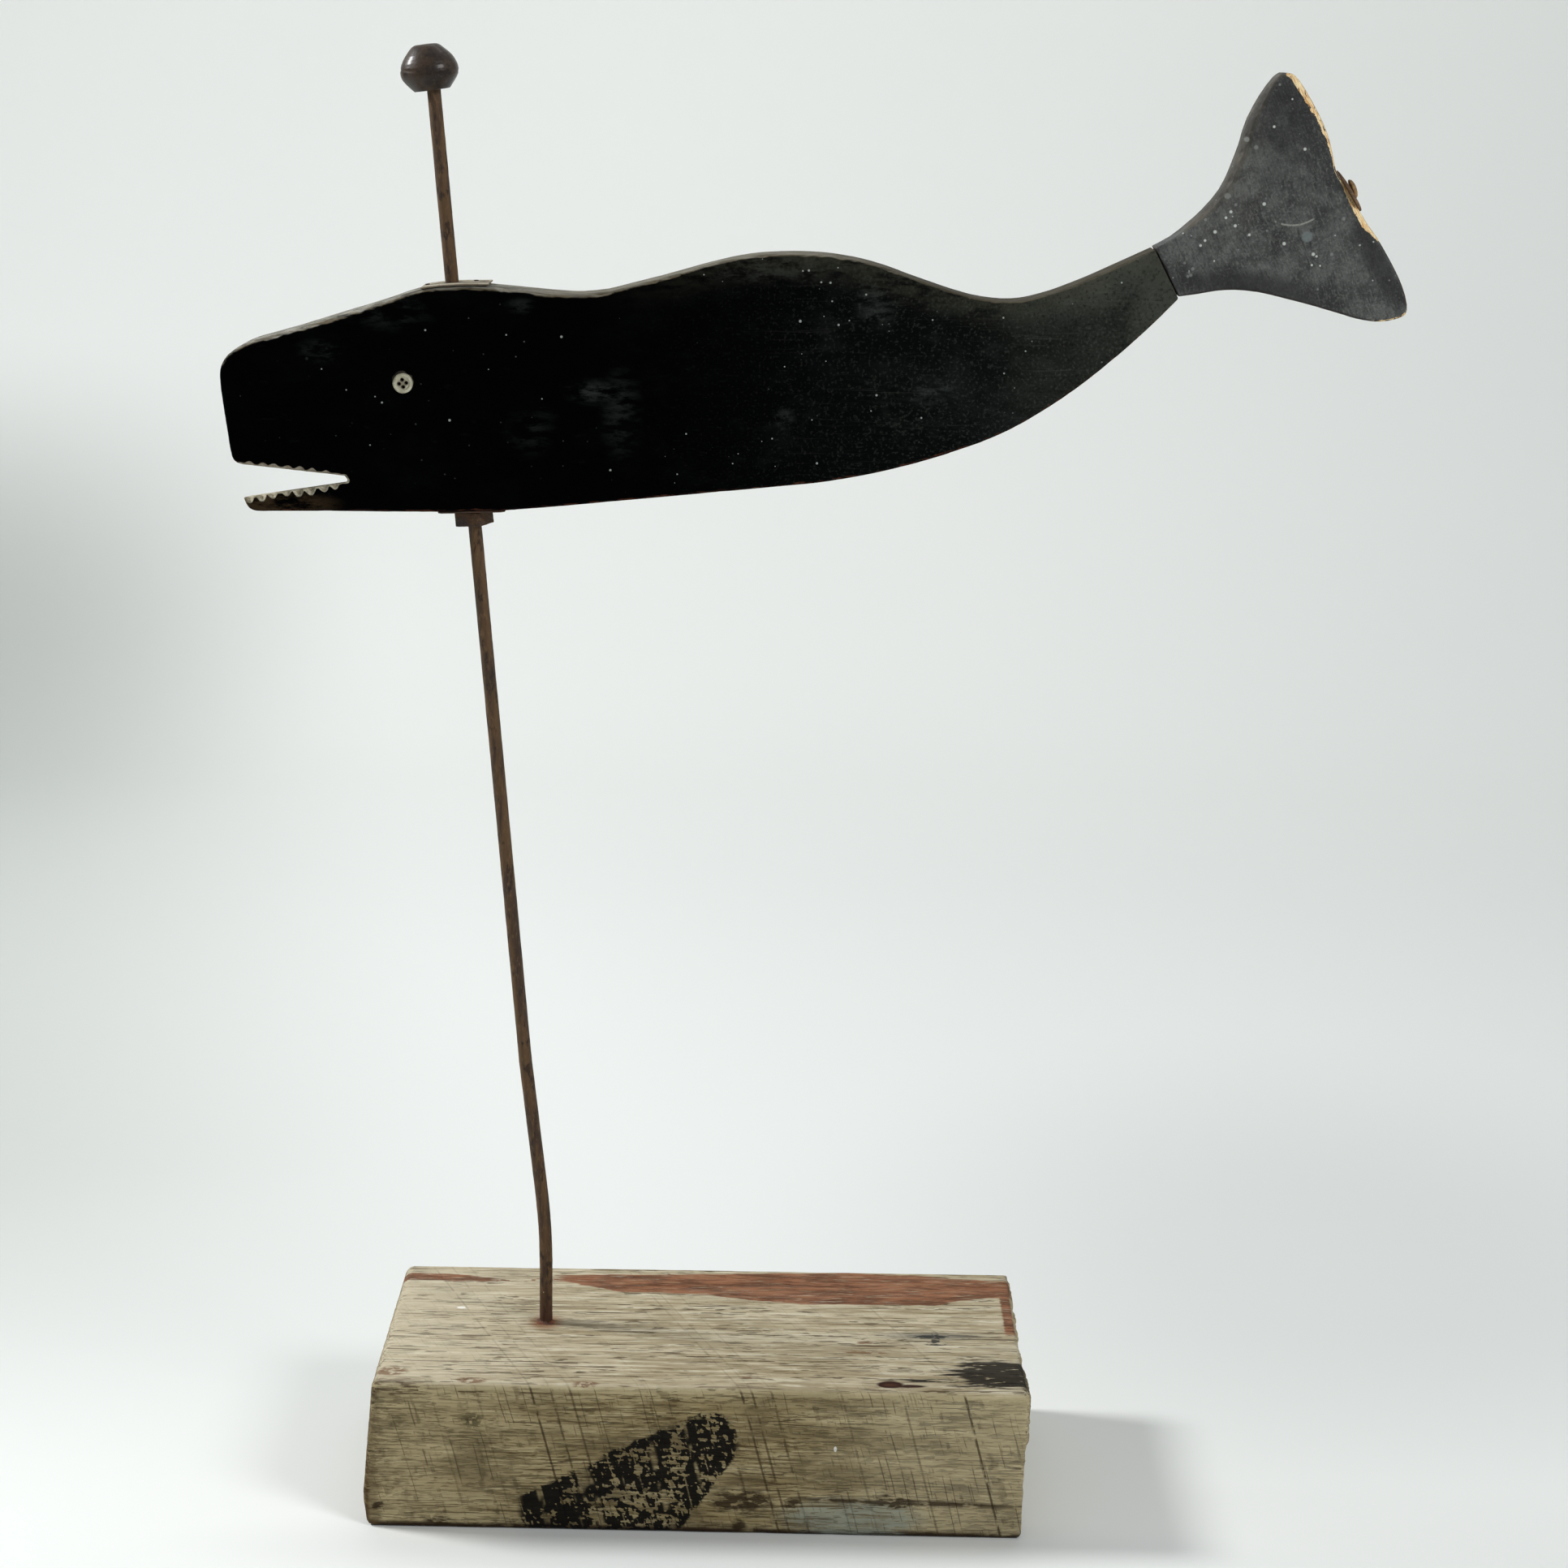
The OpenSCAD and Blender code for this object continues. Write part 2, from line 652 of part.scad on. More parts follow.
module finial_knob() {
    wide = knob_d/drawn_knob_d;
    high = knob_h/drawn_knob_h;
    profile = [for (q = smooth_run(knob_profile)) [q[0]*wide, q[1]*high]];
    color([0.3, 0.26, 0.24])
        spin_frame()
            translate([0, 0, finial_up])
                difference() {
                    translate([-knob_off, 0, 0])
                        rotate([0, -knob_askew, 0])
                            rotate_extrude()
                                polygon(concat([[0, 0]], profile, [[0, knob_h]]));
                    translate([0, 0, -2*over])
                        cylinder(d = rod_d + 2*snug, h = knob_bore + 2*over);
                }
}

// Pieces of the whale
module whale_body() {
    color([0.06, 0.06, 0.07])
        whale_frame()
            difference() {
                eased_board(body_outline, body_half, slope = saw_dip);
                rod_hole(bore_d);
                translate([joint_mid[0], 0, joint_mid[1]])
                    bolt_hole(bolt_d + 2*snug);
                for (p = crown_nails)
                    crown_nail_frame(p)
                        nail_hole();
                for (side = [-1, 1])
                    belly_nail_frame(side)
                        nail_hole();
            }
}

module tail_fluke() {
    color([0.24, 0.26, 0.26])
        fluke_frame()
            difference() {
                eased_board(fluke_outline, [fluke_t/2, 0]);
                bolt_hole(bolt_d + 2*bolt_slack);
            }
}

module tail_bolt() {
    r = bolt_head_d/2;
    point_l = 8;
    point_r = bolt_d/2 - 2;
    color([0.45, 0.34, 0.24])
        fluke_frame()
            seat_frame(bolt_up, bolt_angle)
                translate([0, 0, bolt_standoff])
                    rotate_extrude()
                        polygon([
                            [0, -bolt_l], [point_r, -bolt_l], [bolt_d/2, point_l - bolt_l],
                            [bolt_d/2, 0], [r, 0], [r, 0.3*bolt_head_h], [0.85*r, 0.66*bolt_head_h],
                            [0.5*r, 0.92*bolt_head_h], [0, bolt_head_h]
                        ]);
}

module tail_washer() {
    color([0.45, 0.36, 0.3])
        fluke_frame()
            seat_frame(0, seat_angle)
                difference() {
                    cylinder(d = washer_d, h = washer_t);
                    translate([0, 0, -over])
                        cylinder(d = washer_hole, h = washer_t + 2*over);
                }
}

module top_plate() {
    steps = 8;
    runs = [for (k = [0:steps]) plate_from*(1 - k/steps), plate_from + plate_l];
    lower = [for (run = runs) plate_point(run, 0)];
    upper = [for (k = [steps + 1:-1:0]) plate_point(runs[k], plate_t)];
    color([0.6, 0.58, 0.52])
        whale_frame()
            difference() {
                rotate([90, 0, 0])
                    linear_extrude(height = plate_w, center = true)
                        polygon(concat(lower, upper));
                rod_hole(rod_d + 2*bearing_gap);
                for (p = crown_nails)
                    crown_nail_frame(p)
                        nail_hole();
            }
}

module bottom_plate() {
    cut = 2;
    x = plate_l/2;
    y = plate_w/2;
    color([0.4, 0.34, 0.3])
        whale_frame()
            difference() {
                rotate([0, -belly_slope, 0])
                    translate([0, 0, -plate_t])
                        linear_extrude(height = plate_t)
                            polygon([
                                [-x, cut - y], [cut - x, -y], [x - cut, -y], [x, cut - y],
                                [x, y - cut], [x - cut, y], [cut - x, y], [-x, y - cut]
                            ]);
                rod_hole(rod_d + 2*bearing_gap);
                for (side = [-1, 1])
                    belly_nail_frame(side)
                        nail_hole();
            }
}

module nail() {
    r = nail_head_d/2;
    head_t = 0.7;
    rotate_extrude()
        polygon([
            [0, -nail_l], [nail_d/2, 2*nail_d - nail_l], [nail_d/2, 0], [r, 0],
            [r, 0.4*head_t], [0.7*r, 0.85*head_t], [0, head_t]
        ]);
}

module top_plate_nails() {
    color([0.3, 0.26, 0.22])
        whale_frame()
            for (p = crown_nails)
                crown_nail_frame(p)
                    nail();
}

module bottom_plate_nails() {
    color([0.3, 0.26, 0.22])
        whale_frame()
            for (side = [-1, 1])
                belly_nail_frame(side)
                    nail();
}

module button() {
    r = button_d/2;
    dish = 0.3*button_t;
    first_hole = 8;
    difference() {
        rotate_extrude()
            polygon([
                [0, 0], [r - 0.6, 0], [r, 0.3*button_t], [r, 0.6*button_t], [r - 0.5, 0.9*button_t],
                [r - 1.1, button_t], [r - 1.7, 0.9*button_t], [r - 2.3, button_t - dish],
                [0, button_t - dish]
            ]);
        for (k = [0:3])
            rotate([0, 0, first_hole + 90*k])
                translate([button_hole_r, 0, -over])
                    cylinder(d = button_hole_d, h = button_t + 2*over);
    }
}

module left_eye_button() {
    color([0.8, 0.79, 0.68])
        whale_frame()
            eye_frame()
                button();
}

module right_eye_button() {
    color([0.8, 0.79, 0.68])
        whale_frame()
            mirror([0, 1, 0])
                eye_frame()
                    button();
}

base_block();
spindle_rod();
support_nut();
finial_knob();
whale_body();
tail_fluke();
tail_bolt();
tail_washer();
top_plate();
bottom_plate();
top_plate_nails();
bottom_plate_nails();
left_eye_button();
right_eye_button();
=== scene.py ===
"""Looks of the whale weathervane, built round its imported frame.

Sizes and places are real millimetres. Those on the block are in the part's own frame, those on the whale are
measured from its belly at the rod, and those on the fluke from the middle of the tail joint.
"""
import json
import math
import bmesh
import bpy
import numpy as np
from mathutils import Matrix, Vector
from mathutils.bvhtree import BVHTree


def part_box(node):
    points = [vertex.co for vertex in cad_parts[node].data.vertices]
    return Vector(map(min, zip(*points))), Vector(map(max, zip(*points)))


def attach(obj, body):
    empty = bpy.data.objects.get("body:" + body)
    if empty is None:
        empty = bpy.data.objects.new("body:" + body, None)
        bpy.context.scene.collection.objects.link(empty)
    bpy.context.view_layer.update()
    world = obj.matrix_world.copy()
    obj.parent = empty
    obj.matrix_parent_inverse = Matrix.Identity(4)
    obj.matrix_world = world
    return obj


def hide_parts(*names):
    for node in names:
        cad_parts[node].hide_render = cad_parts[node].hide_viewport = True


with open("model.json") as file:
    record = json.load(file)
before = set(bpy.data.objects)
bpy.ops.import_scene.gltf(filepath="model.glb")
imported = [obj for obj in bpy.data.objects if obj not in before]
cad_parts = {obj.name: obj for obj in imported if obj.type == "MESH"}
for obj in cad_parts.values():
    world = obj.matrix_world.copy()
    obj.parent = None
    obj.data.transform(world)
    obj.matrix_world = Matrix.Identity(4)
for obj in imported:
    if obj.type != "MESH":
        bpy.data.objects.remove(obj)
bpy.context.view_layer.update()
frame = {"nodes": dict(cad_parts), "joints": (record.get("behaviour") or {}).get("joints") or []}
scene = bpy.context.scene

MM = 0.001
MOST_TRIANGLES = 190_000

# The rod's line and the whale's own frame
ROD = frame["joints"][0]
ROD_DIRECTION = Vector(ROD["axis"]).normalized()
ELBOW = Vector(ROD["pos_m"]) / MM
BELLY_UP = 322.5
BELLY = ELBOW + ROD_DIRECTION * BELLY_UP
TAIL_JOINT = BELLY + Vector((376.55, 0, 134.8))
JOINT_OUT = (0.882, 0, 0.471)

# The photograph's camera
IMAGE_SIDE = 1932
FOCAL_PIXELS = 4000
SENSOR = 36
CAMERA_AT = (134.8, -1780, 846)
CAMERA_PITCH = 13.58
CAMERA_ROLL = 0.9


# Noise for shapes

def lattice(i, j, k, seed):
    """A repeatable value from 0 to 1 at each whole-number point."""
    word = 0xFFFFFFFF
    n = (i * 374761393 + j * 668265263 + k * 1440662683 + seed * 1274126177) & word
    n = ((n ^ (n >> 13)) * 1103515245) & word
    n = ((n ^ (n >> 16)) * 1274126177) & word
    return (n ^ (n >> 15)) / word


def noise(points, size, seed):
    """Smooth noise from -1 to 1, with features as large as size: one length, or one along each axis."""
    p = points / np.asarray(size, float)
    base = np.floor(p).astype(np.int64)
    t = p - base
    t = t * t * (3 - 2 * t)
    total = np.zeros(len(points))
    for corner in np.ndindex(2, 2, 2):
        weight = np.prod(np.where(corner, t, 1 - t), axis=1)
        total += weight * lattice(*(base + corner).T, seed)
    return 2 * total - 1


def rough_noise(points, size, seed, layers=3):
    """Noise with finer and weaker noise on top of it."""
    size = np.asarray(size, float)
    return sum(noise(points, size / 2**n, seed + n) / 2**n for n in range(layers)) / 1.6


def ease(value, low, high):
    """0 below low, 1 above high and smooth between, also with low above high."""
    t = np.clip((value - low) / (high - low), 0, 1)
    return t * t * (3 - 2 * t)


# Meshes

def new_piece(name, mesh):
    piece = bpy.data.objects.new(name, mesh)
    scene.collection.objects.link(piece)
    return piece


def apply_modifiers(piece):
    graph = bpy.context.evaluated_depsgraph_get()
    piece.data = bpy.data.meshes.new_from_object(piece.evaluated_get(graph))
    piece.modifiers.clear()


def dense_copy(node, name, voxel):
    """A copy of a CAD node with small even faces, which can take fine shape."""
    piece = new_piece(name, frame["nodes"][node].data.copy())
    remesh = piece.modifiers.new("even faces", "REMESH")
    remesh.mode = "VOXEL"
    remesh.voxel_size = voxel * MM
    remesh.use_smooth_shade = True
    apply_modifiers(piece)
    return piece


def wear(piece, depth_at):
    """Sinks each point of a piece by depth_at(points, normals), in millimetres."""
    mesh = piece.data
    count = len(mesh.vertices)
    points = np.zeros(3 * count)
    normals = np.zeros(3 * count)
    mesh.vertices.foreach_get("co", points)
    mesh.vertex_normals.foreach_get("vector", normals)
    points = points.reshape(-1, 3) / MM
    normals = normals.reshape(-1, 3)
    points -= normals * depth_at(points, normals)[:, None]
    mesh.vertices.foreach_set("co", (points * MM).ravel())
    mesh.update()


def lighten(piece):
    """Merges small faces where the shape is plain, until the piece has few enough."""
    triangles = sum(len(face.vertices) - 2 for face in piece.data.polygons)
    if triangles > MOST_TRIANGLES:
        fewer = piece.modifiers.new("fewer faces", "DECIMATE")
        fewer.ratio = MOST_TRIANGLES / triangles
        apply_modifiers(piece)
    piece.data.shade_smooth()


def turns(count):
    """Angles spaced evenly round a circle."""
    return np.linspace(0, 2 * math.pi, count, endpoint=False)


def ring_piece(name, rows, closed):
    """A smooth skin over rings of points in millimetres: a closed loop of rings, or a bar with flat ends."""
    mesh = bmesh.new()
    rings = [[mesh.verts.new(Vector(point) * MM) for point in row] for row in rows]
    for inner, outer in zip(rings, rings[1:] + (rings[:1] if closed else [])):
        for k, corner in enumerate(inner):
            after = (k + 1) % len(inner)
            mesh.faces.new((corner, outer[k], outer[after], inner[after]))
    if not closed:
        mesh.faces.new(rings[0])
        mesh.faces.new(rings[-1])
    bmesh.ops.recalc_face_normals(mesh, faces=mesh.faces)
    data = bpy.data.meshes.new(name)
    mesh.to_mesh(data)
    mesh.free()
    for face in data.polygons:
        face.use_smooth = len(face.vertices) == 4
    return new_piece(name, data)


def added(piece, body, material):
    """The piece is one that the CAD model has no node for."""
    piece.data.materials.clear()
    piece.data.materials.append(material)
    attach(piece, body)


def stands_for(piece, node, body, material):
    """The piece takes a CAD node's place."""
    added(piece, body, material)
    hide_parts(node)


def make_worn(node, name, voxel, depth_at, body, material):
    """A worn copy of a CAD node takes its place."""
    piece = dense_copy(node, name, voxel)
    wear(piece, depth_at)
    lighten(piece)
    stands_for(piece, node, body, material)


# Material nodes

# Steps from one seed's part of a pattern to the next seed's
SEED_STEPS = (7.3, 3.1, 5.7)


def linear(red, green, blue):
    """A colour as a screen shows it, from 0 to 255, made linear."""
    channels = [c / 255 for c in (red, green, blue)]
    return (*[c / 12.92 if c <= 0.04045 else ((c + 0.055) / 1.055) ** 2.4 for c in channels], 1)


class Finish:
    """A material whose nodes are added by short calls. Each input is a socket or a plain value."""

    def __init__(self, name, origin=(0, 0, 0)):
        self.material = bpy.data.materials.new(name)
        self.material.use_nodes = True
        self.nodes = self.material.node_tree.nodes
        self.links = self.material.node_tree.links
        self.shader = self.nodes["Principled BSDF"]
        self.colour = None
        place = self.nodes.new("ShaderNodeTexCoord")
        whole = self.vector("MULTIPLY", place.outputs["Object"], (1 / MM,) * 3)
        self.at = self.vector("SUBTRACT", whole, tuple(origin))
        self.x, self.y, self.z = self.parts(self.at)
        self.nx, self.ny, self.nz = self.parts(place.outputs["Normal"])

    def add(self, kind, out, inputs, **settings):
        node = self.nodes.new("ShaderNode" + kind)
        for name, value in settings.items():
            setattr(node, name, value)
        for key, value in inputs.items():
            self.put(node.inputs[key], value)
        return node.outputs[out]

    def put(self, socket, value):
        if isinstance(value, bpy.types.NodeSocket):
            self.links.new(value, socket)
        else:
            socket.default_value = value

    def parts(self, vector):
        split = self.nodes.new("ShaderNodeSeparateXYZ")
        self.put(split.inputs[0], vector)
        return split.outputs[0], split.outputs[1], split.outputs[2]

    def vector(self, operation, a, b):
        return self.add("VectorMath", 0, {0: a, 1: b}, operation=operation)

    def join(self, x, y, z):
        return self.add("CombineXYZ", 0, {0: x, 1: y, 2: z})

    def math(self, operation, a, b=0.0):
        return self.add("Math", 0, {0: a, 1: b}, operation=operation)

    def size_of(self, value):
        return self.math("ABSOLUTE", value)

    def length(self, a, b):
        return self.math("SQRT", self.plus(self.times(a, a), self.times(b, b)))

    def chain(self, operation, values):
        total = values[0]
        for value in values[1:]:
            total = self.math(operation, total, value)
        return total

    def plus(self, *values):
        return self.chain("ADD", values)

    def times(self, *values):
        return self.chain("MULTIPLY", values)

    def either(self, *values):
        return self.chain("MAXIMUM", values)

    def less(self, a, b):
        return self.math("SUBTRACT", a, b)

    def flip(self, value):
        return self.math("SUBTRACT", 1.0, value)

    def fade(self, value, low, high, to_low=0.0, to_high=1.0):
        """Moves smoothly from to_low to to_high as value goes from low to high."""
        inputs = {"Value": value, "From Min": low, "From Max": high, "To Min": to_low, "To Max": to_high}
        return self.add("MapRange", 0, inputs, interpolation_type="SMOOTHSTEP")

    def pattern_place(self, at, size, seed):
        """The place counted in sizes, moved so that each seed gives another part of the pattern."""
        sizes = size if isinstance(size, tuple) else (size,) * 3
        scaled = self.vector("MULTIPLY", self.at if at is None else at, tuple(1 / s for s in sizes))
        return self.vector("ADD", scaled, tuple(seed * step for step in SEED_STEPS))

    def noise(self, size, seed=0.0, detail=3.0, rough=0.5, twist=0.0, at=None):
        """Noise from 0 to 1 with features as large as size: one length, or one along each axis."""
        place = self.pattern_place(at, size, seed)
        inputs = {"Vector": place, "Scale": 1.0, "Detail": detail, "Roughness": rough, "Distortion": twist}
        return self.add("TexNoise", "Fac", inputs)

    def sway(self, reach, size, seed=0.0, detail=3.0, rough=0.5, at=None):
        """Noise round 0 that spans reach in all."""
        return self.times(self.less(self.noise(size, seed, detail, rough, at=at), 0.5), reach)

    def dots(self, spacing, radius, share, seed=0.0):
        """Round spots of up to radius, in a share of cells that are spacing apart."""
        cells = self.nodes.new("ShaderNodeTexVoronoi")
        cells.inputs["Scale"].default_value = 1
        self.put(cells.inputs["Vector"], self.pattern_place(None, spacing, seed))
        pick, size, _ = self.parts(cells.outputs["Color"])
        reach = self.times(radius / spacing, self.fade(size, 0, 1, 0.4, 1))
        round_spot = self.fade(self.math("DIVIDE", cells.outputs["Distance"], reach), 1.1, 0.8)
        return self.times(round_spot, self.fade(pick, share, share * 0.98))

    def lines(self, along, size, width, seed=0.0):
        """Thin broken lines where a coordinate passes uneven steps about size apart."""
        wander = self.sway(size * 0.25, size * 4, seed, 1)
        spread = self.join(self.plus(along, wander), seed, 0.0)
        crossing = self.less(self.noise(size, seed, 0, at=spread), 0.5)
        line = self.fade(self.size_of(crossing), width, 0)
        return self.times(line, self.fade(self.noise(size * 1.6, seed + 3, 2), 0.45, 0.6))

    def spot(self, u, v, centre, radius, soft=0.3):
        """An ellipse round centre: 1 inside and 0 outside."""
        du = self.times(self.less(u, centre[0]), 1 / radius[0])
        dv = self.times(self.less(v, centre[1]), 1 / radius[1])
        return self.fade(self.length(du, dv), 1 + soft, 1 - soft)

    def spots(self, u, v, marks):
        """Ellipses given as (along, up, half length, half height) and, where it isn't usual, softness."""
        return self.either(*[self.spot(u, v, mark[:2], mark[2:4], *mark[4:]) for mark in marks])

    def drops(self, marks, scale=1.0):
        """Round drops of paint on a face, given as (along, up, radius)."""
        return self.spots(self.x, self.z, [(x, z, scale * r, scale * r, 0.35) for x, z, r in marks])

    def curve(self, value, points):
        """Straight lines through a few (place, height) points."""
        places, heights = zip(*points)
        low, high = min(heights), max(heights)
        share = self.add("MapRange", 0, {"Value": value, "From Min": places[0], "From Max": places[-1]})
        node = self.nodes.new("ShaderNodeFloatCurve")
        self.put(node.inputs["Value"], share)
        line = node.mapping.curves[0]
        marks = [((p - places[0]) / (places[-1] - places[0]), (h - low) / (high - low)) for p, h in points]
        line.points[0].location = marks[0]
        line.points[1].location = marks[-1]
        for mark in marks[1:-1]:
            line.points.new(*mark)
        for point in line.points:
            point.handle_type = "VECTOR"
        node.mapping.update()
        return self.plus(self.times(node.outputs[0], high - low), low)

    def mix(self, factor, a, b, blend="MIX"):
        """Goes from a to b as factor goes from 0 to 1. Each is a socket or a colour from 0 to 255."""
        node = self.nodes.new("ShaderNodeMix")
        node.data_type = "RGBA"
        node.blend_type = blend
        self.put(node.inputs[0], factor)
        for socket, colour in ((node.inputs[6], a), (node.inputs[7], b)):
            self.put(socket, linear(*colour) if isinstance(colour, tuple) else colour)
        return node.outputs[2]

    def paint(self, tint, *masks, blend="MIX"):
        """Lays a tint over the colour so far, by as much as all the masks let through together."""
        self.colour = self.mix(self.times(*masks), self.colour, tint, blend)

    def bump(self, height, depth, under=None):
        """Relief of up to depth millimetres where height goes from 0 to 1."""
        inputs = {"Height": height, "Distance": depth * MM, "Strength": 1.0}
        if under:
            inputs["Normal"] = under
        return self.add("Bump", 0, inputs)

    def done(self, roughness, relief=None, specular=0.5):
        self.put(self.shader.inputs["Base Color"], self.colour)
        self.put(self.shader.inputs["Roughness"], roughness)
        self.put(self.shader.inputs["Specular IOR Level"], specular)
        if relief:
            self.put(self.shader.inputs["Normal"], relief)
        return self.material


# Timber block

# Slopes of the saw's marks, in millimetres along per millimetre across
SAW_SLOPE_FRONT = 0.26
SAW_SLOPE_TOP = 0.42
# Height of the front's top arris, and how far back it is
ARRIS_UP = 89
ARRIS_BACK = -89
# Places of the deep marks, where they meet that arris, and how deep each is
SAW_CUTS = [
    (-60, 0.3), (-34, 0.3), (-3, 1), (8, 0.75), (19, 0.7), (62, 0.45), (115, 0.9), (121, 0.8), (132, 0.7),
    (171, 0.4), (205, 0.5), (240, 1)]
# Back and front edges of the red stripe along the top
RED_BACK = [
    (-96, 71), (-60, 70), (-36, 66), (-22, 62), (-6, 67), (3, 72), (94, 76), (150, 81), (180, 82), (224, 79),
    (245, 75), (281, 71)]
RED_FRONT = [
    (-96, 61), (-60, 60), (-36, 60), (-22, 59), (-6, 62), (8, 61), (20, 56), (40, 47), (95, 44), (122, 36),
    (150, 32), (230, 33), (245, 41), (281, 50)]
# Upper and lower edges of the black patch on the front
PATCH_TOP = [(-12, 14), (-7, 22), (25, 38), (58, 56), (80, 66), (95, 73), (104, 74), (113, 64), (118, 50)]
PATCH_FOOT = [
    (-12, 12), (-7, 4), (2, -6), (66, -6), (84, 4), (98, 24), (110, 42), (114, 50), (118, 50)]

# Spots on the timber: place and half lengths, some with a softness. Smears, a split and a knot are on the top
RED_SMEARS = [(186, -38, 13, 1.8), (187, -24, 4.5, 1.8), (-36, -84, 8, 3), (29, -86, 7, 2), (-82, -74, 9, 6)]
SPLIT = [(225, -14, 12, 2.6), (228, -17, 2.6, 10), (228, -25, 6, 1.6)]
KNOT = [(200, -82, 7.5, 4.4, 0.2), (211, -84, 9, 2)]
# Thin places of the black patch and brown stains are on the front
PATCH_HOLLOWS = [(50, 19, 24, 13, 0.6), (80, 40, 6, 26, 0.5)]
BROWN_STAINS = [
    (117, 20, 18, 6.5, 0.25), (116, 5, 4, 4, 0.4), (-54, 4, 8, 3, 0.5), (-89, 13, 3.4, 1.6),
    (204, 21, 15, 3.4, 0.4), (146, 20, 6, 3, 0.4)]


def bare_wood(m, grain_at):
    """Weathered wood, with darker and paler fibres, and painted light towards the left end."""
    band = m.noise((160, 7, 7), 2, 4, 0.55, at=grain_at)
    fibre = m.noise((30, 2.6, 1.5), 3, 3, 0.6, at=grain_at)
    cloud = m.noise((60, 24, 24), 4, 4, 0.6)
    m.colour = m.mix(m.fade(band, 0.35, 0.65), (162, 150, 122), (190, 180, 155))
    m.paint((146, 134, 106), m.fade(cloud, 0.45, 0.68, 0, 0.6))
    m.paint((124, 109, 80), m.fade(fibre, 0.5, 0.68, 0, 0.6))
    m.paint((216, 208, 186), m.fade(fibre, 0.45, 0.32, 0, 0.6))
    # Painted light: paler towards the left end, nearest the lamp on the left
    m.paint((206, 196, 172), m.fade(m.x, 40, -90, 0, 0.5))
    return band, fibre


def open_pores(m, grain_at):
    """Dark ticks along the grain."""
    tick = m.fade(m.noise((13, 1.7, 1), 5, 2, at=grain_at), 0.6, 0.645)
    long_tick = m.fade(m.noise((42, 1.9, 1.1), 6, 2.5, at=grain_at), 0.605, 0.645)
    often = m.fade(m.noise((50, 12, 12), 7, 2), 0.36, 0.58, 0.25, 1)
    fine_tick = m.fade(m.noise((8, 6, 0.95), 35, 2, at=grain_at), 0.57, 0.62)
    fleck = m.either(
        m.times(m.either(tick, long_tick), often), m.times(fine_tick, m.fade(m.z, 86, 82), 0.6))
    m.paint((70, 55, 36), fleck, m.fade(m.x, -60, 20, 0.6, 0.82))
    return fleck


def shaded_dirty_sides(m, grain_at, upright):
    """Front and ends darker with painted shade and yellower, painted shade along the foot, and dirt in the
    seam under the front's arris.
    """
    dirt = m.noise((44, 16, 12), 8, 5, 0.65)
    # Painted shade: every face but the top darker, with a yellow tint
    m.paint((236, 229, 206), upright, blend="MULTIPLY")
    m.paint((212, 200, 168), upright, m.fade(m.x, 130, 220, 0, 0.3))
    m.paint((106, 93, 67), upright, m.fade(dirt, 0.42, 0.66, 0, 0.7), m.fade(m.x, 140, 250, 1, 0.35))
    # Painted shade: darker towards the foot
    m.paint((70, 56, 36), upright, m.fade(m.plus(m.z, m.sway(9, (12, 5, 5), 9, 4, 0.6)), 6, 0, 0, 0.7))
    # Painted shade: a dark line along the very foot, broken in places
    m.paint(
        (40, 24, 16), m.fade(m.z, 4.4, 2), m.fade(m.noise((26, 9, 30), 30, 3, 0.6), 0.36, 0.46), upright,
        0.88)
    m.paint((92, 76, 50), upright, m.fade(m.plus(m.x, m.sway(22, (6, 3, 2.4), 10, 4, 0.7)), -86, -92), 0.55)
    m.paint((186, 172, 134), m.fade(m.z, 82.5, 85), m.fade(m.z, 88.5, 86.5), m.fade(m.y, -80, -84), 0.5)
    seam_z = m.less(m.plus(m.z, m.sway(3, (50, 9, 9), 10, 3)), 83.6)
    seam = m.times(m.fade(m.size_of(seam_z), 0.75, 0.3), m.fade(m.noise((15, 9, 9), 11, 3), 0.48, 0.54))
    seam = m.times(seam, m.fade(m.x, -10, 40, 1, 0.4))
    corner = m.times(
        m.spot(m.x, m.z, (-80, 84), (24, 5), 0.5),
        m.fade(m.noise((14, 1.3, 1.3), 12, 3, at=grain_at), 0.5, 0.56))
    m.paint((66, 48, 30), m.either(seam, corner), m.fade(m.y, -80, -84), 0.75)
    return dirt


def saw_marks(m, across, top):
    """Fine marks at random places across the grain, and the deep ones. Each is broken in its own way."""
    marks = m.times(m.lines(across, 11, 0.016, 11), 0.7)
    marks = m.either(
        marks, m.times(m.lines(across, 5, 0.03, 27), m.fade(m.noise((9, 9, 7), 28), 0.42, 0.55), 0.5))
    at_arris = ARRIS_UP * SAW_SLOPE_FRONT + ARRIS_BACK * SAW_SLOPE_TOP
    for place, deep in SAW_CUTS:
        off = m.size_of(m.less(across, place + at_arris))
        part = m.fade(m.noise((6, 9, 9), place % 7, 2), 0.36, 0.5)
        marks = m.either(marks, m.times(m.fade(off, 0.85, 0.3), part, deep))
    marks = m.times(marks, m.fade(top, 0, 1, 1, 0.25))
    m.paint((64, 50, 31), marks, 0.8)
    return marks


